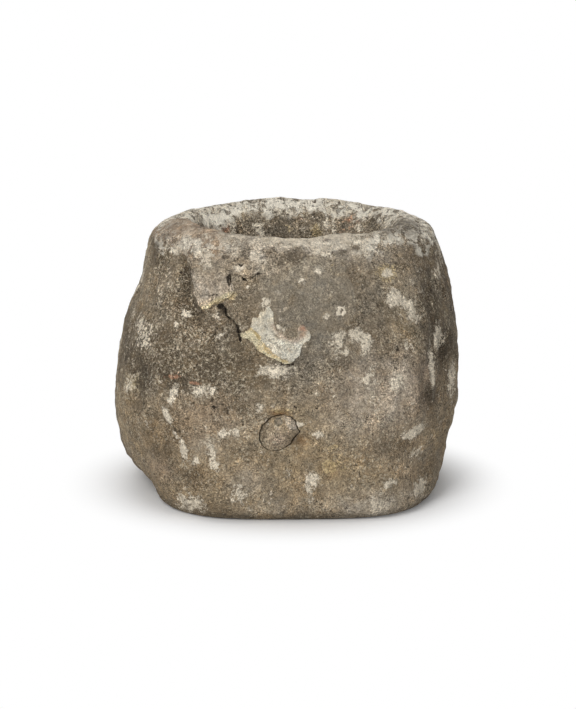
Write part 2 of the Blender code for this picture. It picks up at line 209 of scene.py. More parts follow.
# Raised and sunk folds in the surface: points right of the middle and over the ground, half width and depth
FOLDS = named_in_metres({
    "left side of the tongue": (
        [(-106, 292), (-103.5, 275), (-102, 260), (-96.5, 245), (-89, 241.5)],
        5, -2.4,
    ),
    "flute beside the tongue": (
        [(-115, 290), (-112.5, 275), (-111.5, 256), (-106, 239), (-96, 231)],
        5, 5,
    ),
    "ridge left of the flute": ([(-129, 278), (-130, 255), (-124, 230)], 5, -1.2),
    "lip under the tongue": ([(-88, 245), (-79, 250), (-68, 254)], 2.8, -1),
    "long groove on the right flank": ([(156, 250), (162, 210), (156, 170)], 5, 2.8),
    "ridge right of the groove": ([(168, 250), (173, 210), (166, 170)], 4, -1.4),
    "long groove on the left flank": ([(-168, 240), (-174, 200), (-170, 170)], 5, 2.2),
    "shallow step across the middle": ([(-140, 162), (-100, 160), (-70, 150), (-50, 135)], 4.5, 1.2),
    "step low on the right": ([(60, 106), (90, 102), (115, 106)], 4, 1.2),
})

# Broken edges: a line down the surface, how wide a strip beside it is lowered, and how deep. The strip is on
# the line's right, or on its left for a width under 0
EDGES = named_in_metres({
    "edge right of the chalky face": (
        [(164, 245), (166.5, 225), (165.5, 200), (169, 180), (167, 160)],
        12, 3.4,
    ),
    "edge of the recess on the right": ([(144, 156), (147, 142), (144, 127)], 10, 3),
    "edge of the shelf on the left": (
        [(-144, 134), (-138, 120), (-129, 104), (-120, 84), (-112, 70)],
        -14, 2.6,
    ),
    "edge beside the pale bar": ([(-131, 158), (-135, 148), (-139, 140)], -8, 1.8),
})

# Pale growths and lime on the front: right of the middle, height, half width, half height, tilt, strength
PALE_MARKS = marks_in_metres(
    2,
    [
        (-10.4, 175.4, 14.8, 6, 0, 0.95), (118, 248, 9, 7, -35, 0.95), (131, 240, 10, 5, -45, 0.9),
        (137.7, 230.2, 5, 8, 0, 0.65), (55.2, 205.9, 7.6, 9, 0, 0.85), (74.4, 211.9, 6.6, 6.4, 0, 0.85),
        (85.9, 201.8, 6.1, 8.5, 0, 0.9), (64, 196, 4, 4, 0, 0.7), (89, 168, 8, 11, 0, 0.58),
        (93, 140, 7, 12, 0, 0.42), (133.8, 197.6, 6.2, 6, 0, 0.75), (167.5, 198.5, 3.6, 10, 0, 0.95),
        (160, 164, 2.6, 19, 6, 1.0), (118.8, 160, 6, 10, -20, 0.85), (139.5, 98.5, 9.8, 4, 22, 1.5),
        (34.1, 103.3, 4.4, 2.9, 0, 0.9), (26.8, 50, 5.5, 7, 0, 0.9), (23.5, 35, 3.5, 14, 8, 0.7),
        (0, 57.2, 4.4, 4.8, 0, 0.6), (-72.1, 104.2, 4.5, 3.8, 0, 0.95), (-58.8, 107.5, 7.2, 4.4, 20, 0.6),
        (-126.8, 143, 3.2, 8.5, -20, 1.05), (-134.5, 120.5, 3, 9, 28, 1.0), (-125, 101, 2.2, 8, 25, 0.6),
        (-115.5, 82.5, 3.2, 8.5, 14, 1.05), (-96.3, 151.5, 12.5, 5.2, 12, 0.78),
        (-177, 147, 8, 10, 0, 0.48), (-160.1, 202.6, 12, 13, 0, 0.55), (-159, 193, 5, 5, 0, 0.6),
        (-112.4, 232, 4.4, 3.2, 0, 0.75), (-85, 85, 5, 8, 0, 0.75), (-82, 68, 5, 6, 0, 0.75),
        (-102.9, 71.3, 5.6, 5.3, 0, 0.7), (-54.9, 35.4, 9.4, 11, 0, 0.65), (-109.6, 19.4, 13, 12, 0, 0.7),
        (98.4, 16.8, 12.4, 10, 0, 0.65), (110.6, 42.8, 8.5, 5.7, 0, 0.55), (-29.6, 136.2, 5.5, 5, 0, 0.7),
        (32.8, 281.7, 4.4, 3.6, 0, 0.75), (15.9, 272.4, 4.2, 2.8, 0, 0.75), (-24, 249, 4.4, 6, 0, 0.6),
        (147.5, 27.6, 7.6, 8.2, 0, 0.65), (143.1, 70.3, 9.8, 6, 0, 0.5),
        (-179.3, 219.6, 4.4, 6.7, 0, 0.8), (185.8, 141, 4, 16.2, 0, 0.7),
        (168.2, 264.8, 4.1, 8.1, 0, 0.65), (42.1, 234, 2.4, 2.6, 0, 1.0), (50, 259, 2, 2, 0, 0.8),
        (-44.3, 265, 1.4, 1.3, 0, 1.0), (-8.7, 230.9, 1.8, 1.8, 0, 0.9), (-9.8, 223.4, 2, 2, 0, 0.9),
        (-4.4, 221.3, 1.8, 1.8, 0, 0.8), (13.2, 115.8, 4, 2.8, 0, 0.9), (-98, 300, 12, 8, 0, 0.7),
        (-115, 305, 9, 6, 0, 0.6), (-56, 298, 6, 5, 0, 0.6), (-75.4, 211.7, 4, 1.8, 30, 0.9),
        (-165, 208, 4.5, 4, 0, 0.8), (-124, 218.8, 2.2, 3.6, 0, 0.8), (109.5, 274.5, 5, 3.6, 0, 0.8),
        (-54, 284, 4.6, 2.2, 0, 0.9), (-90, 286, 8, 9, 0, 0.55),
    ],
)
SPECKLED_MARKS = marks_in_metres(
    2,
    [
        (-79.9, 174.8, 20, 9.5, 0, 1.6), (-92, 152, 20, 12, 10, 1.4), (-10.4, 175.4, 22, 11, 0, 1.3),
        (-100, 200, 40, 26, 0, 0.9), (-120, 185, 24, 20, 0, 1.0), (-56, 164, 22, 14, 0, 1.1),
        (-135, 245, 26, 30, 0, 0.8), (35, 170, 30, 20, 0, 0.9), (-40, 118, 30, 12, 0, 1.1),
        (60, 200, 30, 20, 0, 0.8), (120, 255, 20, 16, 0, 0.9), (-60, 90, 30, 12, -20, 1.0),
        (100, 100, 30, 20, 0, 0.8), (-140, 150, 30, 30, 0, 0.8), (0, 285, 50, 14, 0, 0.7),
    ],
)
# The cream lip of the cap's tongue
TONGUE_LIP = in_metres([(-91.9, 240), (-77.7, 250), (-59.1, 259.1)])

# The lime patch: the ochre vein along its lower left, the brown dashes in it and its thin inner edge
LIME_VEIN = in_metres([
    (-40, 221.5), (-34.5, 216.5), (-29, 208.5), (-23, 200), (-16.5, 194.5), (-9, 190), (-1, 186.5),
])
LIME_DASHES = in_metres([[(-15, 216), (-10, 211.5)], [(-12.5, 206), (-9.5, 202), (-6.5, 199)]])
LIME_INNER_EDGE = in_metres([(-12.9, 224), (-8, 218.5), (-0.3, 213.5), (7, 211), (12, 215), (15, 222.5)])

# The little ring of white growth right of the lime: its middle, radius and half width
ROSETTE = in_metres((57.4, 239.6, 3.7, 1.8))

OCHRE_MARKS = marks_in_metres(
    2,
    [
        (109.2, 275.1, 10.5, 7.3, 0, 0.9), (48.7, 286.7, 3.8, 3.6, 0, 0.6), (51.7, 89.6, 11, 4.7, 0, 0.5),
        (49.7, 67.4, 14.4, 10.6, 0, 0.7), (-175, 147, 9, 10, 0, 0.8), (-8.5, 130, 15, 3, 0, 0.8),
        (-62, 254.5, 6, 3, 30, 0.9), (-79, 247.5, 12, 2.6, 25, 0.9),
    ],
)
RUST_MARKS = marks_in_metres(
    2,
    [
        (-127.5, 163, 7.5, 2, 6, 1.2), (-102, 158.8, 7.5, 1.8, -8, 1.2), (17.5, 222.4, 4, 4, 0, 0.8),
        (4, 110, 6, 5, 0, 0.6),
    ],
)
# Dark marks on the front: right of the middle, height, half width, half height, tilt, strength. They are
# partly dark dirt and partly painted shade in the flute, the void under the tongue, the cracks, the pits,
# grooves and recesses that they sit on
DARK_AND_SHADE_MARKS = marks_in_metres(
    2,
    [
        (-111.8, 268, 6, 22, -4, 0.95), (-69.1, 129.9, 6, 6, 0, 0.8), (-151.6, 172.7, 14, 11, 0, 0.6),
        (-151.2, 108.6, 11, 24, 0, 0.38), (152.5, 265.3, 16, 24, 0, 0.55), (160, 138, 7, 15, 0, 0.8),
        (175.9, 175.5, 12, 15, 0, 0.75), (14.8, 177.6, 12, 10, 0, 0.6), (104.2, 106.9, 13, 10, 0, 0.5),
        (-145.4, 72.2, 14, 16, 0, 0.55), (-86.1, 77.8, 6, 11, 0, 0.7), (88, 68, 2.8, 2.8, 0, 1.0),
        (-52.2, 131.5, 3.4, 3, 0, 1.0), (-70, 239.5, 5, 5, 0, 0.95), (-63, 230, 5, 5, -35, 0.85),
        (-54.5, 216, 3.2, 7, 0, 0.75),
    ],
)
# Marks on the rim, whose heights are as seen from the front, so that the far side of its top counts as higher
RIM_DARK_MARKS = marks_in_metres(
    2,
    [
        (-46.8, 311.7, 5.5, 8, 0, 1.15), (-20.7, 309, 8.5, 5.5, 0, 1.15), (-8.7, 298, 10, 7, 0, 1.05),
        (4.4, 300, 8.8, 10, 0, 1.15), (22.3, 307.8, 4, 4.5, 0, 1.05), (-68, 304, 5.5, 6, 30, 0.8),
        (-83, 297, 5, 4, 0, 0.7), (41.9, 322.3, 3.8, 2, 0, 1.1), (74, 313.4, 5.5, 3.2, 0, 1.05),
        (60, 309, 7, 3, 0, 0.85), (-139, 330.5, 6.5, 4, 20, 0.95), (-125, 321.5, 5, 3.2, 0, 0.85),
        (-148, 322, 4, 6, 0, 0.85),
    ],
)
RIM_PALE_MARKS = marks_in_metres(
    2,
    [
        (-35.9, 304, 7.2, 7.5, 15, 1.15), (-133, 327, 10, 6, 0, 0.7), (-120, 313, 12, 6, -10, 0.9),
        (-88, 308, 8, 5, 0, 0.7), (32.7, 316, 34, 6.5, 0, 1.0), (82, 320, 16, 4.5, 0, 0.6),
        (115, 323, 12, 5, 0, 0.6),
    ],
)
SEEN_SLOPE = 0.2245  # the rise in the picture for each metre back
SEEN_FACE = 0.185  # how far before the middle the front face is

# The pale crust of the rim: bearing, then the height in metres where it starts on the outside, how thick it
# grows and how broken it is
RIM_CRUST = [
    (0, 0.279, 0.5, 0.8), (15, 0.276, 0.5, 0.9), (35, 0.285, 0.62, 0.9), (60, 0.292, 0.72, 1.0),
    (80, 0.294, 0.66, 1.0), (100, 0.294, 0.72, 1.0), (140, 0.292, 0.76, 1.0), (168, 0.294, 0.62, 0.8),
    (182, 0.298, 0.5, 0.8), (194, 0.3, 0.24, 0.8), (206, 0.297, 0.2, 0.55), (216, 0.293, 0.2, 0.5),
    (228, 0.29, 0.24, 0.55), (242, 0.298, 0.34, 0.45), (256, 0.303, 0.6, 0.3), (270, 0.301, 0.8, 0.25),
    (284, 0.3, 0.95, 0.25), (292, 0.301, 0.95, 0.35), (300, 0.301, 0.74, 0.35), (309, 0.301, 0.56, 0.6),
    (325, 0.298, 0.46, 1.0), (345, 0.287, 0.46, 1.0), (360, 0.279, 0.5, 0.8),
]
CRUST_INSIDE = 0.298  # where it starts on the inside

# Marks on the back of the hollow, seen over the front rim: right of the middle, height, sizes, tilt, strength
INNER_PALE = marks_in_metres(
    2,
    [
        (-87, 285, 3, 12, 0, 0.8), (-65, 290, 3, 12, 8, 0.85), (-32, 278, 2.8, 14, 0, 0.95),
        (-35, 290, 4.5, 6, 0, 0.8), (46, 292, 2.6, 12, 0, 0.85), (54, 288, 2.6, 16, 0, 0.9),
        (50, 276, 6, 5, 0, 0.75), (-100, 288, 5, 10, 0, 0.7), (85, 290, 6, 6, 0, 0.6),
    ],
)
INNER_OCHRE = marks_in_metres(
    2,
    [
        (33, 280, 7, 10, 0, 0.9), (2, 285, 10, 6, 0, 0.4),
    ],
)
INNER_RUST = marks_in_metres(
    2,
    [
        (-76, 290, 7, 8, 0, 0.9), (64, 285, 6, 6, 0, 0.5),
    ],
)

# How coarse and contrasted the grain is: right of the middle, height, half sizes, and what is added to 1
GRAIN = marks_in_metres(
    1,
    [
        (-130, 255, 45, 45, 0.4), (-100, 205, 40, 40, 0.35), (25, 240, 45, 35, -0.35),
        (0, 60, 90, 50, -0.15), (170, 230, 40, 80, 0.2),
    ],
)

# Soft washes of colour on the front: right of the middle, height, half width, half height, share, and
# pigment. Some of the dark soot washes are painted shade in the flute, grooves and recesses and on the right
# flank, and one is a painted shadow along the foot
WASHES = marks_in_metres(
    2,
    [
        (-30, 70, 110, 50, 0.7, "tan"), (0, 195, 60, 25, 0.45, "slate"), (28, 240, 46, 42, 0.85, "slate"),
        (-118, 198, 68, 36, 0.95, "umber"), (-152, 190, 18, 20, 0.8, "soot"),
        (-76, 176, 24, 15, 0.6, "soot"), (-80, 225, 30, 20, 0.6, "umber"),
        # These two soot washes are painted shade in the flute beside the tongue and under the tongue's lip
        (-112.5, 266, 8, 28, 1.0, "soot"), (-102, 235, 14, 8, 0.7, "soot"),
        (-128, 245, 20, 20, 0.5, "umber"), (-30, 150, 30, 18, 0.35, "umber"),
        (120, 148, 42, 36, 0.8, "clay"), (89, 150, 14, 40, 0.95, "chalk"),
        (125, 162, 16, 22, 0.9, "chalk"), (80, 200, 26, 18, 0.35, "chalk"), (40, 112, 50, 22, 0.6, "tan"),
        (104, 108, 22, 12, 0.5, "umber"), (100, 225, 30, 40, 0.45, "umber"), (85, 45, 60, 34, 0.5, "tan"),
        (125, 60, 30, 40, 0.35, "clay"), (-85, 122, 30, 22, 0.5, "clay"),
        (-110, 100, 16, 20, 0.2, "umber"), (-100, 30, 50, 26, 0.55, "tan"),
        # The soot wash at the end of this line and the first two on the next are partly stains and partly
        # painted shade on the right flank, turned from the key light
        (-60, 110, 30, 10, 0.35, "chalk"), (160, 225, 16, 70, 0.85, "soot"),
        (180, 200, 18, 60, 0.6, "soot"), (160, 138, 7, 20, 0.7, "soot"), (176, 100, 20, 50, 0.6, "umber"),
        (0, 176, 30, 10, 0.5, "slate"), (-165, 232, 16, 35, 0.45, "tan"),
        (-148, 105, 12, 30, 0.3, "soot"), (-175, 170, 12, 50, 0.5, "umber"),
        (-140, 70, 20, 24, 0.3, "umber"), (-90, 78, 12, 16, 0.5, "umber"),
        (100, 290, 30, 10, 0.45, "umber"), (105, 135, 34, 26, 0.45, "chalk"),
        (-178, 172, 30, 26, 0.65, "soot"), (-150, 188, 30, 20, 0.35, "soot"),
        (-115, 240, 24, 40, 0.35, "umber"), (-45, 185, 26, 30, 0.5, "umber"),
        (16, 192, 24, 22, 0.45, "worn"), (150, 160, 18, 30, 0.5, "clay"), (75, 135, 45, 34, 0.35, "clay"),
        (-150, 110, 24, 34, 0.55, "earthy"), (-105, 108, 30, 22, 0.45, "clay"),
        (-113, 52, 20, 16, 0.75, "umber"), (90, 20, 48, 18, 0.75, "chalk"),
        (-105, 16, 45, 14, 0.5, "loam"), (0, 70, 230, 65, 0.38, "earthy"),
        (-100, 192, 80, 42, 0.5, "soot"), (-60, 166, 40, 18, 0.38, "soot"),
        (-125, 165, 34, 18, 0.55, "soot"), (-155, 165, 26, 20, 0.4, "soot"),
        (-185, 200, 14, 30, 0.5, "soot"), (-28, 176, 26, 14, 0.4, "soot"),
        (85, 122, 52, 22, 0.45, "chalk"), (-45, 52, 22, 18, 0.5, "chalk"),
        (-20, 16, 30, 14, 0.35, "chalk"), (120, 88, 20, 14, 0.5, "umber"),
        (100, 300, 40, 14, 0.55, "chalk"), (-120, 80, 50, 45, 0.5, "loam"),
        (-100, 215, 40, 30, 0.45, "umber"), (-165, 170, 22, 60, 0.6, "umber"),
        # The last soot wash here, low and wide along the foot, is a painted shadow line where the block
        # stands on the floor
        (-140, 255, 28, 28, 0.4, "umber"), (-150, 285, 14, 14, 0.7, "soot"), (20, 6, 200, 4, 0.6, "soot"),
        (-142, 312, 26, 22, 0.85, "umber"), (-112, 318, 34, 14, 0.6, "umber"),
        (-147, 293, 18, 22, 0.9, "soot"), (147, 300, 22, 18, 0.65, "umber"),
        (54, 296, 22, 11, 0.6, "chalk"), (-142, 55, 16, 14, 0.5, "clay"),
        (-172, 150, 20, 22, 0.55, "soot"), (-100, 10, 35, 16, 0.5, "umber"),
        # The first and last soot washes here are painted shade in the groove down the left flank and under
        # the tongue, with some dark staining
        (-161, 168, 6, 24, 0.8, "soot"), (-133, 82, 6, 16, 0.7, "soot"), (-106, 231, 16, 16, 0.6, "soot"),
        # The first soot wash here is partly stain and partly painted shade on the right flank
        (152, 197, 20, 16, 0.5, "soot"), (38, 204, 13, 15, 0.65, "worn"), (12, 178, 24, 11, 0.55, "worn"),
        (-12, 127, 16, 10, 0.5, "umber"), (54, 226, 22, 14, 0.65, "umber"),
        (119, 229, 14, 12, 0.5, "umber"), (-43, 231, 18, 16, 0.5, "soot"),
        (-172, 195, 18, 20, 0.7, "soot"), (-132, 162, 30, 16, 0.6, "soot"),
        # These two soot washes are painted shade in the recesses of the right flank, with some dark staining
        (176, 187, 14, 22, 0.9, "soot"), (156, 139, 10, 12, 0.7, "soot"),
        (100, 197, 26, 14, 0.4, "umber"), (-106, 54, 16, 14, 0.6, "soot"),
        (-43, 88, 16, 12, 0.5, "umber"), (115, 88, 18, 12, 0.4, "soot"), (100, 16, 30, 14, 0.8, "chalk"),
        (-90, 90, 22, 14, 0.4, "chalk"),
    ],
)


def painted(red, green, blue):
    """A colour given as it is seen on a screen, 0 to 255, as the linear values that the shaders take."""
    return tuple(((c / 255 + 0.055) / 1.055) ** 2.4 for c in (red, green, blue))


PIGMENTS = {
    "ground": painted(133, 121, 103),
    "slate": painted(129, 120, 105),
    "umber": painted(107, 94, 76),
    # soot: dark staining, and also the painted shade and painted shadow that some washes lay with it
    "soot": painted(80, 70, 56),
    "tan": painted(151, 134, 107),
    "clay": painted(152, 134, 115),
    "chalk": painted(172, 161, 145),
    "cap": painted(154, 141, 122),
    "cap warm": painted(160, 141, 120),
    "cap pale": painted(204, 190, 170),
    "tongue": painted(170, 156, 137),
    "inner": painted(112, 101, 85),
    "worn": painted(104, 96, 84),
    "lime": painted(204, 197, 180),
    "cream": painted(201, 189, 155),
    "stain": painted(158, 124, 96),
    "vein": painted(171, 146, 92),
    "rose": painted(172, 154, 138),
    "earth": painted(118, 92, 62),
    "lichen": painted(118, 113, 101),
    "lichen rim": painted(84, 79, 68),
    "slab": painted(178, 166, 149),
    "loam": painted(130, 110, 82),
    "earthy": painted(145, 125, 97),
    "bung": painted(150, 134, 111),
}


# Small helpers


def eased(value, low, high):
    """0 below low, 1 above high, and smooth between, for a number or an array."""
    share = np.clip((value - low) / (high - low), 0.0, 1.0)
    return share * share * (3 - 2 * share)


def object_from(name, source):
    """Makes a bmesh or a mesh an object of the scene."""
    if isinstance(source, bmesh.types.BMesh):
        mesh = bpy.data.meshes.new(name)
        source.to_mesh(mesh)
        source.free()
    else:
        mesh = source
        mesh.name = name
    made = bpy.data.objects.new(name, mesh)
    bpy.context.scene.collection.objects.link(made)
    return made


def guide(made):
    """A guide or cutter, which is removed at the end."""
    made.hide_render = True
    made["trough_guide"] = True
    return made


def remove_object(made):
    """Removes an object with its mesh."""
    mesh = made.data
    bpy.data.objects.remove(made)
    bpy.data.meshes.remove(mesh)


def settle(made):
    """Gives an object the mesh that its modifiers make."""
    bpy.context.view_layer.update()
    graph = bpy.context.evaluated_depsgraph_get()
    mesh = bpy.data.meshes.new_from_object(made.evaluated_get(graph))
    old = made.data
    made.modifiers.clear()
    made.data = mesh
    bpy.data.meshes.remove(old)
    return made


def cut(made, operation, other):
    """One Boolean step, made good at once."""
    before = made.data.copy()
    for solver in ("MANIFOLD", "EXACT"):
        step = made.modifiers.new("cut", "BOOLEAN")
        step.operation = operation
        step.solver = solver
        step.object = other
        settle(made)
        if len(made.data.polygons):
            bpy.data.meshes.remove(before)
            return made
        made.data = before.copy()
    raise RuntimeError(f"{operation} of {made.name} and {other.name} leaves nothing")


def swell(bm, amount):
    """Moves every place of a closed shape out along its normal."""
    bm.normal_update()
    for v, shift in [(v, v.normal * amount) for v in bm.verts]:
        v.co += shift


def smooth(bm, rounds):
    """Evens out a shape, half way at each round."""
    axes = {"use_axis_x": True, "use_axis_y": True, "use_axis_z": True}
    for _ in range(rounds):
        bmesh.ops.smooth_vert(bm, verts=bm.verts, factor=0.5, **axes)


def solid_copy(node):
    """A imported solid's mesh, merged."""
    bm = bmesh.new()
    bm.from_mesh(frame["nodes"][node].data)
    bmesh.ops.remove_doubles(bm, verts=bm.verts, dist=1e-6)
    return bm


def even_mesh(made, size):
    """Gives a closed object a mesh of even small faces."""
    even = made.modifiers.new("even mesh", "REMESH")
    even.mode = "VOXEL"
    even.voxel_size = size
    even.adaptivity = 0
    return settle(made)


def vectors_of(mesh, kind):
    """The places (co) or the normals (normal) of a mesh, one row for each point."""
    found = np.zeros(len(mesh.vertices) * 3, np.float32)
    mesh.vertices.foreach_get(kind, found)
    return found.reshape(-1, 3).astype(float)


def put_places(mesh, found):
    mesh.vertices.foreach_set("co", found.astype(np.float32).ravel())
    mesh.update()


def between(a, b, c, d, t):
    """The smooth curve through four points, at share t of the way from the second to the third."""
    return 0.5 * (2 * b + (c - a) * t + (2 * a - 5 * b + 4 * c - d) * t**2 + (3 * b - a - 3 * c + d) * t**3)


RAGGED_NOISES = ((0.0075, 1.0), (0.0024, 0.5), (0.0013, 0.6))  # sizes and shares


def ragged(outline, step, wobble, seed):
    """A closed outline drawn smoothly through its points and then broken by fine noise, as (x, z) points."""
    points = [Vector((x, BLOCK_TOP - drop)) for x, drop in outline]
    line = []
    for i, b in enumerate(points):
        a, c, d = points[i - 1], points[(i + 1) % len(points)], points[(i + 2) % len(points)]
        count = max(1, round((c - b).length / step))
        line += [between(a, b, c, d, k / count) for k in range(count)]
    broken = []
    for i, place in enumerate(line):
        along = (line[(i + 1) % len(line)] - line[i - 1]).normalized()
        across = Vector((along.y, -along.x))
        at = Vector((place.x, seed, place.y))
        shift = sum(share * noise.noise(at / size) for size, share in RAGGED_NOISES)
        broken.append(place + across * wobble * shift)
    return broken


def prism(name, corners, axis, end):
    """A guide on a flat ring of corners, drawn out along an axis, 0 to 2, to its end there."""
    bm = bmesh.new()
    near = bm.faces.new([bm.verts.new(corner) for corner in corners])
    far = bmesh.ops.extrude_face_region(bm, geom=[near])["geom"]
    for v in (g for g in far if isinstance(g, bmesh.types.BMVert)):
        v.co[axis] = end
    bmesh.ops.recalc_face_normals(bm, faces=bm.faces)
    return guide(object_from(name, bm))


def front_prism(name, line, back=PRISM_BACK):
    """A prism on an outline, from well before the block to behind its front's skin."""
    return prism(name, [(p.x, PRISM_FRONT, p.y) for p in line], 1, back)


def cap_inner_edge(bearing):
    """Where a bearing meets the cap's inner edge."""
    left, right, front, back = CAP_INNER
    cosine, sine = math.cos(bearing), math.sin(bearing)
    across = abs(cosine) / (right if cosine > 0 else left)
    along = abs(sine) / (back if sine > 0 else front)
    reach = (across**CAP_SQUARENESS + along**CAP_SQUARENESS) ** (-1 / CAP_SQUARENESS)
    return Vector((reach * cosine, reach * sine))


def rim_wedge(name, steps=60):
    """A prism over the stretch of rim that the cap covers."""
    turn = (CAP_END - CAP_START) / steps
    bearings = [math.radians(CAP_START + turn * k) for k in range(steps + 1)]
    near = [cap_inner_edge(b) for b in bearings]
    far = [place.normalized() * WEDGE_REACH for place in reversed(near)]
    return prism(name, [(*place, WEDGE_FOOT) for place in near + far], 2, WEDGE_TOP)


def away_from_line(x, z, line, closed=False):
    """The distance of each place from a drawn line."""
    ends = list(zip(line, line[1:])) + ([(line[-1], line[0])] if closed else [])
    best = np.full(len(x), 1.0)
    for (ax, az), (bx, bz) in ends:
        dx, dz = bx - ax, bz - az
        share = np.clip(((x - ax) * dx + (z - az) * dz) / (dx * dx + dz * dz), 0, 1)
        best = np.minimum(best, np.hypot(x - ax - share * dx, z - az - share * dz))
    return best


def across_mark(x, z, mx, mz, half_width, half_height, tilt):
    """Each place as seen from a tilted mark's middle, in its half widths and half heights."""
    c, s = math.cos(math.radians(tilt)), math.sin(math.radians(tilt))
    return ((x - mx) * c + (z - mz) * s) / half_width, ((z - mz) * c - (x - mx) * s) / half_height


def cones(marks, x, z):
    """The strongest of some marks at each place: full in a mark's middle, and evenly less away from it."""
    best = np.zeros(len(x))
    for *mark, strength in marks:
        best = np.maximum(best, strength * (1 - np.hypot(*across_mark(x, z, *mark)) / 2))
    return best


def noise_at(points, size, octaves=1):
    """Noise of about -1 to 1 at each point, on features of a size, or of three sizes."""
    scaled = points / np.asarray(size)
    if octaves == 1:
        return np.array([noise.noise(p) for p in scaled])
    return np.array([noise.fractal(p, 1.0, 2.1, octaves) for p in scaled])


# The outlines as they are cut: the step between their points, how far they wander, and their own noise
CAP_LINE = ragged(CAP_OUTLINE, 0.0012, 0.0010, 0.31)
FILL_LINE = ragged(FILL_OUTLINE, 0.0012, 0.0009, 0.57)
LIME_LINE = ragged(LIME_OUTLINE, 0.0008, 0.0009, 0.83)
CHIP_BED_LINE = ragged(CHIP_BED_OUTLINE, 0.0010, 0.0004, 0.12)
CHIP_LINE = ragged(CHIP_OUTLINE, 0.0010, 0.0003, 0.45)


# The worked form


def bung_edge(angle, column):
    """The bung's reach (column 1) or the gap beside it (column 2) at angles given in radians."""
    known = [row[0] for row in BUNG_EDGE]
    return np.interp(np.degrees(angle) % 360, known, [row[column] for row in BUNG_EDGE], period=360)


def bung_reach(angle):
    """The bung's reach as a share of its radius, with the fine unevenness of a broken edge."""
    c, s = math.cos(angle), math.sin(angle)
    wavy = 0.030 * noise.noise(Vector((c, s, 9.0)) * 4.5)
    jagged = 0.040 * noise.noise(Vector((c, s, 4.0)) * 10.0)
    return float(bung_edge(angle, 1)) + (wavy + jagged)


JOINT_CLOSER = 0.0005  # how much each repair is swollen, to close the joint round it
FORM_SMOOTHINGS, SKIN_SMOOTHINGS = 10, 2


def fused_form(size):
    """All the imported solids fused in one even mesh, as an object."""
    bm = bmesh.new()
    for node in sorted(frame["nodes"]):
        part = solid_copy(node)
        swell(part, 0.0 if node == "stone_block" else JOINT_CLOSER)
        mesh = bpy.data.meshes.new(node)
        part.to_mesh(mesh)
        part.free()
        bm.from_mesh(mesh)
        bpy.data.meshes.remove(mesh)
    return even_mesh(guide(object_from("guide_form", bm)), size)


def keep_largest(bm):
    """Removes every closed shell but the largest."""
    left, shells = set(bm.verts), []
    while left:
        reached, front = set(), [left.pop()]
        while front:
            v = front.pop()
            reached.add(v)
            for e in v.link_edges:
                other = e.other_vert(v)
                if other in left:
                    left.remove(other)
                    front.append(other)
        shells.append(reached)
    shells.sort(key=len)
    for shell in shells[:-1]:
        bmesh.ops.delete(bm, geom=list(shell), context="VERTS")


def refine(bm, near):
    """Splits the edges of the faces that near() picks from their middles."""
    faces = list(bm.faces)
    middles = np.array([f.calc_center_median() for f in faces])
    picked = near(middles)
    edges = {e for f, chosen in zip(faces, picked) if chosen for e in f.edges}
    bmesh.ops.subdivide_edges(bm, edges=list(edges), cuts=1, use_grid_fill=True)


def on_repairs(middles):
    """The faces of the front and the rim, where the repairs and the bung are."""
    x, y, z = middles.T
    front = (y < -0.10) & (np.abs(x) < 0.135) & (z > 0.185)
    rim = (z > 0.275) & (y < 0.0)
    bung = (y < -0.15) & (np.hypot(x - DRAIN_X, z - DRAIN_Z) < 0.038)
    right = (y < -0.02) & (x > 0.130) & (x < 0.190) & (z > 0.120) & (z < 0.255)
    left = (y < -0.10) & (x > -0.155) & (x < -0.095) & (z > 0.060) & (z < 0.165)
    return front | rim | bung | right | left


def on_borders(middles):
    """The faces beside a repair's border, a crack or the bung's edge."""
    x, y, z = middles.T
    near = np.abs(np.hypot(x - DRAIN_X, z - DRAIN_Z) - BUNG_RADIUS) < 0.0035
    for line in (CAP_LINE, FILL_LINE, LIME_LINE, CHIP_BED_LINE):
        near |= away_from_line(x, z, line, closed=True) < 0.0028
    for line, half_width, _ in CRACKS.values():
        near |= away_from_line(x, z, line) < 0.004
    near |= np.hypot(x - ROSETTE[0], z - ROSETTE[1]) < 0.008
    return near & (y < -0.10) & (x < 0.08) & (z < 0.305)


WEATHER_NOISES = ((0.0016, 0.040, 3), (0.0011, 0.0130, 2), (0.0005, 0.0056, 1))  # depth, size, octaves
TOOLING_DEPTH = 0.0020
TOOLING_SIZE = (0.015, 0.015, 0.055)


def weather(points, normals):
    """How far the weather and the dressing move each place along its normal."""
    x, y, z = points.T
    outside = normals[:, 0] * x + normals[:, 1] * y > 0
    front = (y < -0.03) & outside
    flank = eased(np.abs(x), 0.085, 0.150) + eased(y, 0.0, 0.12)
    rim = eased(z, 0.285, 0.305)
    shift = np.zeros(len(x))
    for depth, size, octaves in WEATHER_NOISES:
        shift += depth * noise_at(points, size, octaves)
    tooling = noise_at(points, TOOLING_SIZE, 2)
    shift += TOOLING_DEPTH * tooling * np.clip(flank, 0, 1) * (1 - rim) * outside
    for *place_and_size, depth, tilt in marks_in_metres(1, DENTS.values()):
        u, v = across_mark(x, z, *place_and_size, tilt)
        shift -= depth * np.exp(-(u * u) - v * v) * front
    for line, half_width, depth in (*CRACKS.values(), *FOLDS.values()):
        shift -= depth * np.exp(-((away_from_line(x, z, line) / half_width) ** 2)) * front
    for line, width, depth in EDGES.values():
        rights, heights = zip(*reversed(line))
        beside = (x - np.interp(z, heights, rights)) * math.copysign(1, width)
        ends = eased(z, heights[0] - 0.006, heights[0] + 0.006)
        ends = ends * eased(-z, -heights[-1] - 0.006, -heights[-1] + 0.006)
        step = eased(beside, -0.0008, 0.0014) * np.exp(-((np.maximum(beside, 0) / width) ** 2))
        shift -= depth * step * ends * front
    ground = eased(z, 0.0, 0.010)
    hollow_floor = ~outside & (normals[:, 2] > 0.6) & (z < HOLLOW_FLOOR + 0.012)
    return shift * ground * np.where(hollow_floor, 0.0, 1.0)


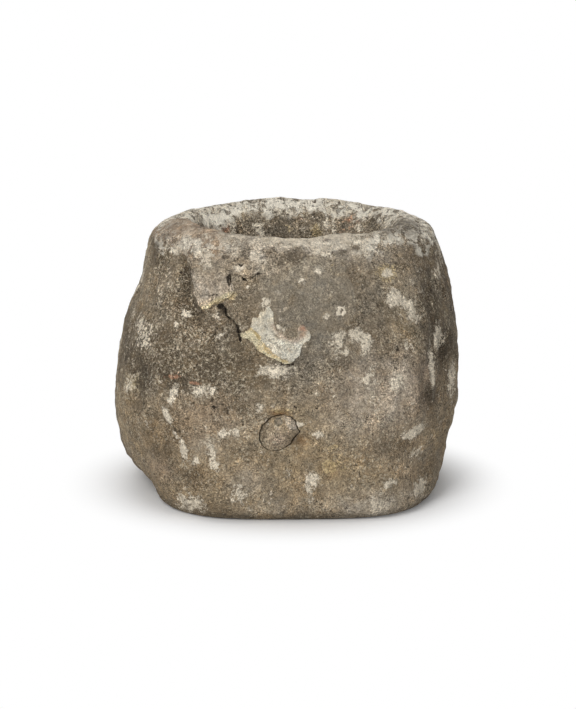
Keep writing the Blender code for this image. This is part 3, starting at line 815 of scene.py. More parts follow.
class TROUGH_OT_worked_form(Operator):
    """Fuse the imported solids, weather them as one surface and draw the repairs' borders on it"""

    bl_idname = "trough.worked_form"
    bl_label = "Worked form"

    def execute(self, context):
        stone = context.scene.trough_stone
        form = fused_form(stone.mesh_size)
        bm = bmesh.new()
        bm.from_mesh(form.data)
        keep_largest(bm)
        smooth(bm, FORM_SMOOTHINGS)
        core = bm.copy()
        refine(bm, on_repairs)
        refine(bm, on_borders)
        smooth(bm, SKIN_SMOOTHINGS)
        bmesh.ops.triangulate(bm, faces=bm.faces)
        bm.to_mesh(form.data)
        bm.free()
        points, normals = vectors_of(form.data, "co"), vectors_of(form.data, "normal")
        shift = weather(points, normals) * (stone.weather_depth / 0.001)
        points += normals * shift[:, None]
        points[:, 2] = np.maximum(points[:, 2], 0.0)
        put_places(form.data, points)
        swell(core, -BED_DEPTH)
        bmesh.ops.triangulate(core, faces=core.faces)
        guide(object_from("guide_core", core))
        wedge = rim_wedge("guide_cap")
        cut(wedge, "INTERSECT", front_prism("guide_cap_front", CAP_LINE, CAP_BACK))
        beds = guide(object_from("guide_beds", wedge.data.copy()))
        cut(beds, "UNION", front_prism("guide_fill", FILL_LINE))
        cut(beds, "UNION", front_prism("guide_lime", LIME_LINE))
        cut(beds, "UNION", front_prism("guide_chip_bed", CHIP_BED_LINE))
        front_prism("guide_chip", CHIP_LINE)
        cut(beds, "DIFFERENCE", bpy.data.objects["guide_core"])
        return {"FINISHED"}


def slab_share(x, z):
    """How far a place on the bung's face is beyond the edge of its raised upper right slab."""
    return ((x + 0.0062) * 0.0116 + (z - 0.1258) * 0.0058) / 0.01297


# Colour that is laid on each piece's points


def soft_mark(x, z, mx, mz, half_width, half_height):
    """1 in the middle of a mark, and softly less away from it."""
    return np.exp(-(((x - mx) / half_width) ** 2) - ((z - mz) / half_height) ** 2)


def lay_lime(lay, x, z, mid, fine):
    """The lime's own colours: cream along its lower left, cooler above, and worn thin at its inner edge."""
    vein = away_from_line(x, z, LIME_VEIN)
    beyond = np.interp(x, [p[0] for p in LIME_VEIN], [p[1] for p in LIME_VEIN]) - z
    dashes = np.minimum(*[away_from_line(x, z, line) for line in LIME_DASHES])
    inner = away_from_line(x, z, LIME_INNER_EDGE)
    lay(np.ones(len(x)), "lime")
    lay(0.9 * eased(beyond + 0.004 * mid, -0.001, 0.003), "cream")
    lay(0.9 * (1 - eased(inner + 0.004 * mid + 0.002 * fine, 0.001, 0.0075)), "rose")
    lay(0.7 * (1 - eased(inner + 0.003 * mid + 0.002 * fine, 0.000, 0.0030)), "slate")
    lay(0.60 * soft_mark(x, z, 0.0150, 0.2195, 0.0055, 0.0070) * (1 + 1.6 * fine), "stain")
    lay(0.75 * (1 - eased(vein + 0.004 * fine + 0.003 * mid, 0.0002, 0.0018)), "vein")
    lay(0.8 * (1 - eased(dashes + 0.001 * fine, 0.0003, 0.0014)), "umber")


def lay_bung(lay, x, z, fine):
    """The bung's own colours: its growth with a dark rim, its rosy places and its pale upper right slab."""
    lay(np.full(len(x), 0.9), "bung")
    spot = np.hypot((x + 0.0104) / 0.0050, (z - 0.1190) / 0.0046) + 0.25 * fine
    lay(0.85 * (1 - eased(spot, 0.85, 1.15)), "lichen")
    lay(0.80 * (1 - eased(np.abs(spot - 0.85), 0.08, 0.25)), "lichen rim")
    lay(0.60 * soft_mark(x, z, -0.0100, 0.1185, 0.0016, 0.0020), "rose")
    lay(0.60 * soft_mark(x, z, -0.0112, 0.1112, 0.0020, 0.0018), "cap pale")
    lay(0.85 * eased(slab_share(x, z), -0.0003, 0.0003) * eased(z, 0.109, 0.112), "slab")
    lay(0.5 * soft_mark(x, z, -0.0110, 0.0985, 0.0090, 0.0070), "rose")
    lay(0.8 * eased(-x + 0.3 * (z - 0.1055), 0.0225, 0.0255), "umber")


def strongest(*covers):
    """The most that any of some covers has at each place."""
    return np.maximum.reduce(covers)


def lay_colours(made, piece):
    """Stores on each point of a piece its local colour and how much each growth and stain covers it."""
    mesh = made.data
    points, normals = vectors_of(mesh, "co"), vectors_of(mesh, "normal")
    x, y, z = points.T
    bearing = np.degrees(np.arctan2(y, x)) % 360
    outside = normals[:, 0] * x + normals[:, 1] * y > 0
    front = eased(-y, 0.02, 0.07) * np.where(outside | (z > 0.30), 1.0, 0.0)
    back_wall = eased(y, 0.02, 0.05) * np.where(outside, 0.0, 1.0)
    low = noise_at(points, 0.070, 2)
    mid = noise_at(points + 3.0, 0.028, 3)
    fine = noise_at(points + 5.0, 0.011, 2)

    wash = np.tile(np.array(PIGMENTS["ground"]), (len(x), 1))

    def lay(share, pigment):
        nonlocal wash
        wash = wash + np.clip(share, 0, 1)[:, None] * (np.array(PIGMENTS[pigment]) - wash)

    lay(0.9 * eased(low, 0.0, 0.45), "tan")
    lay(0.9 * eased(-low, 0.0, 0.45), "umber")
    lay(0.6 * eased(mid, 0.1, 0.5), "slate")
    lay(0.6 * eased(-mid, 0.2, 0.6) * (1 - 0.5 * front), "soot")
    stray = 1 + 0.5 * mid + 0.5 * fine
    for *place_and_size, share, pigment in WASHES:
        lay(share * soft_mark(x, z, *place_and_size) * front * stray, pigment)
    bearings, *crust_columns = zip(*RIM_CRUST)
    foot, thick, scabby = (np.interp(bearing, bearings, column) for column in crust_columns)
    foot = np.where(outside, foot, CRUST_INSIDE)
    rim = eased(z + 0.013 * mid + 0.006 * fine - foot, -0.0045, 0.0045)
    lay(0.30 * rim, "cap")
    worn_place = soft_mark(x, y, 0.118, -0.045, 0.036, 0.062) * eased(z, 0.285, 0.298)
    worn = eased(worn_place + 0.25 * mid, 0.25, 0.60)
    if piece == "cap":
        lay(0.15 + 0.85 * eased(-x - 0.15 * (z - 0.30), -0.025, 0.025), "cap")
        lay(eased(-x, 0.05, 0.09) * eased(z, 0.285, 0.300), "cap warm")
        lay(eased(-z, -0.285, -0.265), "tongue")
        lay(0.9 * rim * eased(x, -0.080, -0.020), "cap pale")
        lay(0.75 * (1 - eased(away_from_line(x, z, TONGUE_LIP) + 0.002 * fine, 0.0014, 0.0032)), "cream")
    for side in (-1, 1):
        lay(0.8 * soft_mark(x, z, 0.153 * side, 0.286, 0.022, 0.018) * front, "umber")
    lay(worn, "worn")
    within = np.where(outside, 0.0, 1.0) * (1 - eased(z + 0.008 * mid, 0.292, 0.302))
    lay(within, "inner")
    if piece == "fill":
        lay(np.full(len(x), 0.6), "slate")
        lay(0.65 * eased(-x, 0.010, 0.050), "umber")
    if piece == "lime":
        lay_lime(lay, x, z, mid, fine)
    if piece == "bung":
        lay_bung(lay, x, z, fine)
    else:
        lay(0.95 * soft_mark(x, z, -0.0105, 0.1285, 0.0095, 0.0030) * front, "earth")
        lay(0.80 * soft_mark(x, z, 0.0140, 0.0975, 0.0070, 0.0065) * front, "earth")

    uneven = 0.0030 * noise_at(points + 9.0, 0.0045, 2)
    rosette_x, rosette_z, radius, half_width = ROSETTE
    ring = np.abs(np.hypot(x - rosette_x, z - rosette_z) + uneven - radius) / half_width
    drift = noise_at(points + 7.0, (0.034, 0.034, 0.046), 3)
    seen = z + SEEN_SLOPE * (y + SEEN_FACE)
    on_rim = eased(z, 0.282, 0.292) * (y < 0) * front
    rim_dark = cones(RIM_DARK_MARKS, x, seen) * on_rim
    rim_bare = 1 - 0.9 * np.clip(rim_dark, 0, 1)
    pale = rim_bare * strongest(
        1.25 * cones(PALE_MARKS, x, z) * front,
        np.clip(1.1 - 0.6 * ring, 0, 1) * front,
        np.clip(0.22 + 0.85 * drift, 0, 0.9) * (1 - 0.8 * front) * (1 - 0.6 * within),
        thick * rim * (1 - 0.7 * worn),
        cones(INNER_PALE, x, z) * back_wall,
        cones(RIM_PALE_MARKS, x, seen) * on_rim,
    )
    if piece in ("lime", "bung"):
        pale = np.zeros(len(x))
    broken = strongest(cones(SPECKLED_MARKS, x, z) * front, np.clip(noise_at(points + 11.0, 0.05, 2), 0, 1))
    gloom = np.clip(0.15 + 0.8 * noise_at(points + 17.0, 0.045, 3), 0, 0.8) * (1 - 0.6 * front)
    # The dark layer: dark mottling, the rim's dark lichen, and the dark marks, which are partly painted shade
    # in recesses
    dark = strongest(cones(DARK_AND_SHADE_MARKS, x, z) * front, rim_dark, gloom)
    loose = (1 - 0.85 * front) * (1 - 0.7 * rim)
    ochre = strongest(
        np.clip(noise_at(points + 23.0, 0.06, 2) - 0.10, 0, 1) * loose,
        cones(OCHRE_MARKS, x, z) * front,
        cones(INNER_OCHRE, x, z) * back_wall,
    )
    rust = strongest(
        np.clip(noise_at(points + 29.0, 0.05, 2) - 0.25, 0, 1) * loose,
        cones(RUST_MARKS, x, z) * front,
        cones(INNER_RUST, x, z) * back_wall,
    )
    inner_part = 1 - eased(np.hypot(x, y) + 0.010 * mid - 0.020 * eased(-x, 0.03, 0.07), 0.138, 0.150)
    smooth_top = eased(z, 0.304, 0.314) * inner_part * eased(-y, 0.0, 0.03)
    crust = scabby * rim * (1 - 0.75 * smooth_top) * (1 - 0.7 * worn) * rim_bare
    grain = 1 + rim * (0.3 - 0.6 * smooth_top) + 0.8 * within * eased(y, 0.0, 0.05)
    for *place_and_size, more in GRAIN:
        grain += more * soft_mark(x, z, *place_and_size) * front
    # How near each place is to a crack or hairline, for the dark laid in them, which is partly painted shade
    crack = np.full(len(x), CRACK_REACH)
    for line, half_width, _ in CRACKS.values():
        crack = np.minimum(crack, away_from_line(x, z, line) - max(0.0, half_width - NARROW_CRACK))
    for line in HAIRLINES.values():
        crack = np.minimum(crack, away_from_line(x, z, line) + HAIRLINE_FAINTNESS)
    crack = np.where(front > 0.5, crack, CRACK_REACH)

    layers = {"pale": pale, "broken": broken, "dark": dark, "ochre": ochre, "rust": rust}
    layers |= {"crust": crust, "grain": grain, "crack": crack}
    for name, values in layers.items():
        layer = mesh.attributes.new(name, "FLOAT", "POINT")
        layer.data.foreach_set("value", values.astype(np.float32))
    colours = np.hstack([wash, np.ones((len(x), 1))]).astype(np.float32)
    layer = mesh.attributes.new("wash", "FLOAT_COLOR", "POINT")
    layer.data.foreach_set("color", colours.ravel())


# Materials


class Recipe:
    """Short words for building one finish out of nodes."""

    def __init__(self, name):
        self.finish = bpy.data.materials.new(name)
        self.finish.use_nodes = True
        self.tree = self.finish.node_tree
        self.shader = self.tree.nodes["Principled BSDF"]
        self.place = self.node("ShaderNodeTexCoord").outputs["Object"]

    def node(self, kind, **settings):
        """Adds a node with some of its settings."""
        made = self.tree.nodes.new(kind)
        for key, value in settings.items():
            setattr(made, key, value)
        return made

    def put(self, socket, value):
        """Links a socket, or sets its value."""
        if isinstance(value, bpy.types.NodeSocket):
            self.tree.links.new(value, socket)
        elif isinstance(value, tuple) and len(value) == 3 and socket.type == "RGBA":
            socket.default_value = (*value, 1.0)
        else:
            socket.default_value = value

    def vector(self, operation, a, b):
        """One step of reckoning with places, whose second part is three numbers."""
        made = self.node("ShaderNodeVectorMath", operation=operation)
        self.put(made.inputs[0], a)
        made.inputs[1].default_value = b
        return made.outputs[0]

    def noise(self, size, detail=3.0, roughness=0.55, distortion=0.0, shift=None, shape=None):
        """Noise on features of a size, drawn out by a shape of three factors if one is given."""
        place = self.vector("ADD", self.place, (shift,) * 3) if shift else self.place
        if shape:
            place = self.vector("MULTIPLY", place, shape)
        made = self.node("ShaderNodeTexNoise")
        self.put(made.inputs["Vector"], place)
        made.inputs["Scale"].default_value = 1 / size
        made.inputs["Detail"].default_value = detail
        made.inputs["Roughness"].default_value = roughness
        made.inputs["Distortion"].default_value = distortion
        return made.outputs["Fac"]

    def layer(self, name, output="Fac"):
        """What is stored on the piece's points under a name."""
        return self.node("ShaderNodeAttribute", attribute_name=name).outputs[output]

    def sum(self, operation, a, b=0.0):
        """One step of reckoning with numbers."""
        made = self.node("ShaderNodeMath", operation=operation)
        for socket, value in zip(made.inputs, (a, b)):
            self.put(socket, value)
        return made.outputs[0]

    def times(self, a, b):
        return self.sum("MULTIPLY", a, b)

    def plus(self, a, b):
        return self.sum("ADD", a, b)

    def swing(self, value, factor):
        """How far a noise is from its middle, times a factor."""
        return self.times(self.sum("SUBTRACT", value, 0.5), factor)

    def fade(self, value, low, high, to_low=0.0, to_high=1.0):
        """Smoothly from to_low at low to to_high at high."""
        made = self.node("ShaderNodeMapRange", interpolation_type="SMOOTHSTEP")
        for socket, v in zip(made.inputs, (value, low, high, to_low, to_high)):
            self.put(socket, v)
        return made.outputs[0]

    def mix(self, share, a, b, blend="MIX"):
        """A share of one colour over another."""
        made = self.node("ShaderNodeMix", data_type="RGBA", blend_type=blend)
        self.put(made.inputs[0], share)
        self.put(made.inputs[6], a)
        self.put(made.inputs[7], b)
        return made.outputs[2]

    def scaled(self, colour, factor):
        """A colour times a factor."""
        made = self.node("ShaderNodeVectorMath", operation="SCALE")
        self.put(made.inputs[0], colour)
        self.put(made.inputs["Scale"], factor)
        return made.outputs[0]

    def over(self, base, cover, share, colour):
        """A base under a colour, where there is a cover and as much as its share says."""
        return self.mix(self.times(cover, share), base, colour)


# The finish's noises: size of the features in metres, detail, roughness, distortion, shift and shape
NOISES = {
    "broad": (0.030, 5.0, 0.62),
    "mottle": (0.0100, 5.0, 0.68, 0.3, 5.0),
    "speckle": (0.0038, 3.0, 0.75, 0.4, 9.0),
    "grit": (0.0016, 2.0, 0.8, 0.0, 13.0),
    "ragged edge": (0.014, 6.0, 0.72, 0.5, 45.0),
    "warmth": (0.022, 5.0, 0.7, 0.5, 17.0),
    "coarse patches": (0.034, 3.0, 0.6, 0.0, 71.0),
    "clusters": (0.020, 3.0, 0.6, 0.0, 73.0),
    "small flakes": (0.0070, 5.0, 0.70, 0.6, 81.0),
    "large flakes": (0.0190, 6.0, 0.68, 0.4, 85.0),
    "flecks": (0.0027, 2.0, 0.65, 0.5, 27.0),
    "pits": (0.0036, 2.0, 0.65, 0.6, 21.0),
    "holes in growth": (0.0036, 3.0, 0.68, 0.5, 41.0),
    "scattered growth": (0.0034, 3.0, 0.65, 0.4, 31.0),
    "veins": (0.0085, 4.0, 0.7, 0.8, 61.0),
    "places of veins": (0.014, 2.0, 0.6, 0.0, 65.0),
    "scabs": (0.0150, 5.0, 0.63, 1.0, 91.0, (1.0, 0.45, 1.0)),
    "crumbs": (0.0062, 4.0, 0.72, 0.6, 93.0, (1.0, 0.5, 1.0)),
    "bare places": (0.0190, 5.0, 0.68, 0.6, 97.0),
    "places of gaps": (0.012, 2.0, 0.6, 0.0, 95.0),
}
LOOK = {
    "pale": painted(224, 212, 191),
    # dark: dark dirt and lichen, and partly painted shade where the dark marks lie in recesses
    "dark": painted(72, 62, 49),
    "ochre": painted(184, 163, 118),
    "rust": painted(158, 114, 88),
    "fleck": painted(190, 178, 155),
    "pit": painted(46, 38, 29),
    "scab": painted(245, 237, 220),
    # gap: painted shade in the gaps beside the crust's scabs, also used for the dark crumbs
    "gap": painted(60, 51, 39),
    "bare": painted(116, 104, 86),
    # crack: the dark of the cracks, partly dirt and partly painted shade
    "crack": painted(34, 27, 20),
}
WARMER, COOLER = (1.10, 1.0, 0.86), (0.93, 1.0, 1.10)
STAINS_AND_SHADE = (("dark", 0.44, 0.56, 0.62), ("ochre", 0.38, 0.64, 0.50), ("rust", 0.38, 0.64, 0.62))


def weathered(name, contrast=1.0, fine=1.0, relief=1.0, pitted=0.0, colours=None):
    """A finish for stone and mortar that have stood outdoors, over the colours laid on a piece's points."""
    look = LOOK | (colours or {})
    r = Recipe(name)

    def noise_of(kind):
        return r.noise(*NOISES[kind])

    def lit(colour, share):
        """A colour as the grain lights it, where a share under 1 evens it out."""
        return r.scaled(look[colour], r.sum("POWER", 2.0, r.times(strength, share)))

    mottle, speckle, grit = noise_of("mottle"), noise_of("speckle"), noise_of("grit")
    patchy = r.fade(noise_of("coarse patches"), 0.38, 0.62, 0.70 * fine, 1.25 * fine)
    coarse = r.times(r.layer("grain"), patchy)
    clusters = r.fade(noise_of("clusters"), 0.42, 0.58, 0.15, 1.0)

    # The ground, lighter and darker at every scale, in thin flakes with crisp edges
    even = r.plus(r.swing(noise_of("broad"), 1.7 * contrast), r.swing(mottle, 1.3 * contrast))
    small_flake = r.fade(noise_of("small flakes"), 0.490, 0.515, -0.5, 0.5)
    large_flake = r.fade(noise_of("large flakes"), 0.490, 0.510, -0.5, 0.5)
    even = r.plus(even, r.plus(r.times(small_flake, 0.22 * contrast), r.times(large_flake, 0.22 * contrast)))
    rough = r.plus(r.swing(speckle, 2.2), r.swing(grit, 6.0))
    strength = r.plus(r.plus(even, 0.08), r.times(rough, coarse))
    tone = r.sum("POWER", 2.0, strength)
    ground = r.scaled(r.layer("wash", "Color"), tone)
    warmth = noise_of("warmth")
    for tint, full in ((WARMER, 0.66), (COOLER, 0.34)):
        ground = r.mix(r.fade(warmth, 0.5, full, 0.0, 0.6), ground, r.mix(1.0, ground, tint, "MULTIPLY"))

    # Light flecks and dark pits of the broken grain
    flecks = r.fade(noise_of("flecks"), 0.575, 0.615)
    flecks = r.times(flecks, r.times(clusters, 1 - pitted))
    ground = r.mix(r.times(flecks, r.times(coarse, 0.70)), ground, look["fleck"])
    pits = r.fade(noise_of("pits"), 0.380 + 0.025 * pitted, 0.335 + 0.025 * pitted)
    ground = r.mix(r.times(pits, r.times(coarse, 0.62)), ground, look["pit"])

    # Stains, and the dark layer, which is partly painted shade in the flute, pits, grooves and recesses
    edge = r.plus(r.swing(noise_of("ragged edge"), 2.1), r.swing(speckle, 1.7))
    for stain, low, high, share in STAINS_AND_SHADE:
        cover = r.fade(r.plus(r.layer(stain), edge), low, high)
        ground = r.over(ground, cover, share, r.scaled(look[stain], tone))

    # Pale growths and lime: a soft bloom round a solid heart with a crisp, ragged edge and dark holes
    grown = r.plus(r.layer("pale"), edge)
    bloom = r.fade(grown, 0.16, 0.62, 0.0, 0.30)
    heart = r.fade(grown, 0.485, 0.515)
    unbroken = r.sum("MAXIMUM", r.fade(noise_of("holes in growth"), 0.395, 0.430), r.fade(grown, 0.70, 1.05))
    heart = r.times(heart, unbroken)
    scatter = r.fade(noise_of("scattered growth"), 0.560, 0.600)
    scatter = r.times(scatter, r.fade(r.plus(r.layer("broken"), edge), 0.30, 0.75))
    ground = r.over(ground, scatter, 0.72, lit("fleck", 0.6))
    colour = r.over(ground, r.sum("MAXIMUM", heart, bloom), 0.95, lit("pale", 0.50))
    hole = r.fade(r.sum("ABSOLUTE", r.sum("SUBTRACT", noise_of("veins"), 0.5)), 0.012, 0.003)
    hole = r.times(hole, r.fade(noise_of("places of veins"), 0.46, 0.56))
    hole = r.times(hole, r.fade(grown, 0.35 - 0.5 * pitted, 0.50 - 0.5 * pitted))
    colour = r.over(colour, hole, 0.70, look["pit"])

    # The rim's crust: pale scabs with painted shade in the dark gaps beside them, bare places and crumbs
    crust = r.layer("crust")
    scab, crumb = noise_of("scabs"), noise_of("crumbs")
    scabs = r.times(r.fade(scab, 0.500, 0.515), crust)
    colour = r.over(colour, scabs, 0.90, lit("scab", 0.35))
    bare = r.times(r.fade(noise_of("bare places"), 0.435, 0.415), crust)
    colour = r.over(colour, bare, 0.75, r.scaled(look["bare"], tone))
    shaded_gaps = r.fade(r.sum("ABSOLUTE", r.sum("SUBTRACT", scab, 0.480)), 0.020, 0.009)
    shaded_gaps = r.times(r.times(shaded_gaps, r.fade(noise_of("places of gaps"), 0.40, 0.52)), crust)
    colour = r.over(colour, shaded_gaps, 0.78, look["gap"])
    crumbly = r.times(crust, 0.60)
    colour = r.mix(r.times(r.fade(crumb, 0.545, 0.560), crumbly), colour, look["scab"])
    colour = r.mix(r.times(r.fade(crumb, 0.440, 0.420), crumbly), colour, look["gap"])

    # The dark of the cracks and hairlines: partly dirt in them, and partly painted shade in the cracks and
    # voids and painted shadow under the raised edges of the lime and the fill
    groove = r.plus(r.plus(r.layer("crack"), r.swing(speckle, 0.0056)), r.swing(mottle, 0.0100))
    colour = r.over(colour, r.fade(groove, 0.0010, 0.0003), 0.92, look["crack"])
    r.put(r.shader.inputs["Base Color"], colour)

    # Relief in millimetres
    height = r.times(mottle, 2.4)
    parts = (speckle, grit, heart, small_flake, large_flake, scabs)
    for part, rise in zip(parts, (1.5, 0.55, 0.45, 0.30, 0.35, 0.60)):
        height = r.plus(height, r.times(part, rise))
    height = r.sum("SUBTRACT", height, r.times(r.sum("MAXIMUM", pits, hole), 0.6))
    bump = r.node("ShaderNodeBump")
    bump.inputs["Strength"].default_value = 1.0
    bump.inputs["Distance"].default_value = 0.001 * relief
    r.put(bump.inputs["Height"], height)
    r.put(r.shader.inputs["Normal"], bump.outputs[0])
    r.put(r.shader.inputs["Roughness"], r.fade(mottle, 0.3, 0.7, 0.86, 0.98))
    r.shader.inputs["Specular IOR Level"].default_value = 0.25
    return r.finish


# Pieces


def finish_piece(made, piece, body, nodes, finish):
    """Lays a piece's colours, gives it its finish and ties it to the frame."""
    mesh = made.data
    mesh.materials.clear()
    mesh.materials.append(finish)
    mesh.polygons.foreach_set("use_smooth", [True] * len(mesh.polygons))
    mesh.set_sharp_from_angle(angle=math.radians(50))
    lay_colours(made, piece)
    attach(made, body)
    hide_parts(*nodes)


ON_SKIN = 2e-5  # how near the worked form's surface a place is still on it


def raise_skin(made, amount):
    """Moves the weathered face of a piece out by amount(x, y, z), and leaves its sides and back."""
    form = bpy.data.objects["guide_form"].data
    tree = BVHTree.FromPolygons([v.co for v in form.vertices], [tuple(p.vertices) for p in form.polygons])
    form_normals = vectors_of(form, "normal")
    points = vectors_of(made.data, "co")
    moves = amount(*points.T)
    for i, place in enumerate(points):
        _, _, index, far = tree.find_nearest(Vector(place))
        if far < ON_SKIN:
            corners = form.polygons[index].vertices
            normal = sum((Vector(form_normals[c]) for c in corners), Vector())
            points[i] += np.array(normal.normalized()) * moves[i]
    put_places(made.data, points)


def piece_of_form(name, cutters, without=()):
    """The part of the worked form inside some cutters, as deep as the repairs' beds."""
    tool = guide(object_from("guide_tool", bpy.data.objects[cutters].data.copy()))
    for other in without:
        cut(tool, "DIFFERENCE", bpy.data.objects[other])
    cut(tool, "DIFFERENCE", bpy.data.objects["guide_core"])
    made = object_from(name, bpy.data.objects["guide_form"].data.copy())
    cut(made, "INTERSECT", tool)
    remove_object(tool)
    return made


class TROUGH_OT_block(Operator):
    """Build the weathered limestone block with the beds of its repairs and its drain hole"""

    bl_idname = "trough.block"
    bl_label = "Limestone block"

    def execute(self, context):
        made = object_from("limestone_block", bpy.data.objects["guide_form"].data.copy())
        cut(made, "DIFFERENCE", bpy.data.objects["guide_beds"])
        cut(made, "DIFFERENCE", drain_bore("guide_bore", context.scene.trough_bung))
        finish_piece(made, "stone", "trough", ["stone_block"], weathered("weathered limestone"))
        return {"FINISHED"}


class TROUGH_OT_mortar(Operator):
    """Build the mortar cap on the rim, the grey fill under it and the patch of lime mortar"""

    bl_idname = "trough.mortar"
    bl_label = "Mortar repairs"

    def execute(self, context):
        mortar = context.scene.trough_mortar
        cap = piece_of_form("rim_cap", "guide_cap", ["guide_chip_bed"])
        fill = piece_of_form("grey_fill", "guide_fill", ["guide_cap", "guide_lime", "guide_chip_bed"])
        lime = piece_of_form("lime_patch", "guide_lime")

        def cap_rise(x, y, z):
            near = 1 - eased(away_from_line(x, z, CAP_LINE, closed=True), 0.004, 0.030)
            ends = eased(-x, -0.055, -0.020) * eased(x, -0.135, -0.110)
            patchy = np.clip(0.40 + 1.3 * noise_at(np.column_stack((x, y, z)), 0.016, 2), 0.02, 1.0)
            even = eased(-x, 0.048, 0.062)
            return mortar.cap_proud * near * ends * eased(-y, 0.10, 0.13) * (even + (1 - even) * 0.5 * patchy)

        def fill_rise(x, y, z):
            near = 1 - eased(away_from_line(x, z, FILL_LINE, closed=True), 0.003, 0.016)
            return mortar.fill_proud * near * eased(-x, 0.020, 0.045)

        def lime_rise(x, y, z):
            points = np.column_stack((x, y, z))
            thin = 1 - 0.8 * (1 - eased(away_from_line(x, z, LIME_INNER_EDGE), 0.001, 0.010))
            lumps = 0.5 * noise_at(points, 0.010, 3) + 0.25 * noise_at(points + 2.0, 0.004, 2)
            vein = 0.4 * (1 - eased(away_from_line(x, z, LIME_VEIN), 0.0005, 0.0030))
            return mortar.lime_proud * (thin * (1 + lumps) - vein)

        raise_skin(cap, cap_rise)
        raise_skin(fill, fill_rise)
        raise_skin(lime, lime_rise)
        cap_finish = weathered("rim mortar", 1.2, 0.85, 1.2, 1.0, {"pale": painted(214, 201, 180)})
        fill_finish = weathered("grey mortar", 0.7, 0.85, 0.7)
        lime_finish = weathered("lime mortar", 0.5, 0.75, 0.9)
        finish_piece(cap, "cap", "trough", ["rim_mortar_cap"], cap_finish)
        finish_piece(fill, "fill", "trough", ["front_mortar_fill"], fill_finish)
        finish_piece(lime, "lime", "trough", ["lime_mortar_patch"], lime_finish)
        return {"FINISHED"}


def even_copy(name, node, size, rounds):
    """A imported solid's copy with a fine even mesh."""
    made = even_mesh(object_from(name, solid_copy(node)), size)
    bm = bmesh.new()
    bm.from_mesh(made.data)
    smooth(bm, rounds)
    bm.to_mesh(made.data)
    bm.free()
    return made


class TROUGH_OT_chip(Operator):
    """Build the stone chip that packs the joint between the cap and the grey fill"""

    bl_idname = "trough.chip"
    bl_label = "Packing chip"

    def execute(self, context):
        made = piece_of_form("packing_stone", "guide_chip")
        finish = weathered("chip stone", 0.8, 0.8, 0.8)
        finish_piece(made, "chip", "trough", ["packing_chip"], finish)
        return {"FINISHED"}


def drain_bore(name, bung):
    """The drain hole's cutter: the bung's own uneven outline with the gap round it, and a worn mouth."""
    face = BUNG_LOW.y
    sides = 144
    bm = bmesh.new()
    loops = []
    for along in (BORE_FRONT, face + 0.0010, face + 0.0040, face + 0.0080, BORE_BACK):
        mouth = float(eased(-along, -face - 0.0070, -face - 0.0015))
        ring = []
        for k in range(sides):
            angle = math.tau * k / sides
            c, s = math.cos(angle), math.sin(angle)
            worn = bung.mouth_wear * mouth * max(0.0, 0.3 + 1.6 * noise.noise(Vector((c, s, 2.0)) * 3.4))
            radius = (BUNG_RADIUS - BUNG_TAPER * max(0.0, along - face)) * bung_reach(angle)
            radius += bung.gap * float(bung_edge(angle, 2)) + worn
            ring.append(bm.verts.new((DRAIN_X + radius * c, along, DRAIN_Z + radius * s)))
        loops.append([bm.edges.new((ring[k - 1], ring[k])) for k in range(sides)])
    for near, far in zip(loops, loops[1:]):
        bmesh.ops.bridge_loops(bm, edges=near + far)
    for loop in (loops[0], loops[-1]):
        bmesh.ops.contextual_create(bm, geom=loop)
    bmesh.ops.recalc_face_normals(bm, faces=bm.faces)
    return guide(object_from(name, bm))


class TROUGH_OT_bung(Operator):
    """Build the mortar bung that stops the drain"""

    bl_idname = "trough.bung"
    bl_label = "Drain bung"

    def execute(self, context):
        made = even_copy("drain_bung", "drain_plug", 0.0010, 3)
        points, normals = vectors_of(made.data, "co"), vectors_of(made.data, "normal")
        x, y, z = points.T
        angle = np.arctan2(z - DRAIN_Z, x - DRAIN_X)
        share = np.array([bung_reach(a) for a in angle])
        points[:, 0] = DRAIN_X + (x - DRAIN_X) * share
        points[:, 2] = DRAIN_Z + (z - DRAIN_Z) * share
        face = eased(-y, -BUNG_LOW.y - 0.0040, -BUNG_LOW.y - 0.0010)
        reach = np.hypot(x - DRAIN_X, z - DRAIN_Z) / BUNG_RADIUS
        rough = 0.0010 * noise_at(points, 0.011, 3) + 0.0005 * noise_at(points, 0.004, 2)
        dish = -0.0010 * np.exp(-((reach / 0.55) ** 2))
        over = slab_share(x, z)
        slab = 0.0020 * eased(over, -0.0006, 0.0006) * eased(z, 0.108, 0.113)
        slab = slab * (1 - 0.6 * eased(over, 0.001, 0.009))
        nub = 0.0007 * soft_mark(x, z, -0.0108, 0.1176, 0.0038, 0.0038)
        lip = 0.0007 * eased(-x, 0.0215, 0.0245) * (z < 0.120)
        slab += nub + lip
        shank = -0.00012 * (1 + noise_at(points, 0.005, 2))
        shift = face * (rough + dish + slab) + (1 - face) * shank
        put_places(made.data, points + normals * shift[:, None])
        finish = weathered("bung mortar", 1.1, 1.0, 1.3)
        finish_piece(made, "bung", "bung", ["drain_plug"], finish)
        return {"FINISHED"}


# The stage


LIT_MIDDLE = (0.0, 0.0, 0.16)
KEY_PLACE, KEY_SIZE = (-0.90, -2.30, 1.75), 1.1
TOP_PLACE, TOP_SIZE = (-0.1, 0.2, 2.5), 2.0
CAMERA_PLACE, CAMERA_TARGET = (0.0, -3.0004, 0.8254), (0.0, 0.0, 0.152)
CAMERA_LENS, CAMERA_SENSOR = 134.25, 36.0
FLOOR_REACH = 12.0
WHITE_FROM, WHITE_TO = 0.160, 0.27  # the radii between which the seen floor turns white
WHITE = (1.0, 1.0, 1.0, 1.0)


def aim(made, target):
    """Turns a lamp or a camera to a place."""
    made.rotation_euler = (Vector(target) - made.location).to_track_quat("-Z", "Y").to_euler()


def softbox(name, place, size, power):
    """A square lamp that lights the trough's middle."""
    light = bpy.data.lights.new(name, "AREA")
    light.shape = "RECTANGLE"
    light.size = light.size_y = size
    light.energy = power
    made = bpy.data.objects.new(name, light)
    made.location = place
    made.visible_camera = False
    aim(made, LIT_MIDDLE)
    bpy.context.scene.collection.objects.link(made)


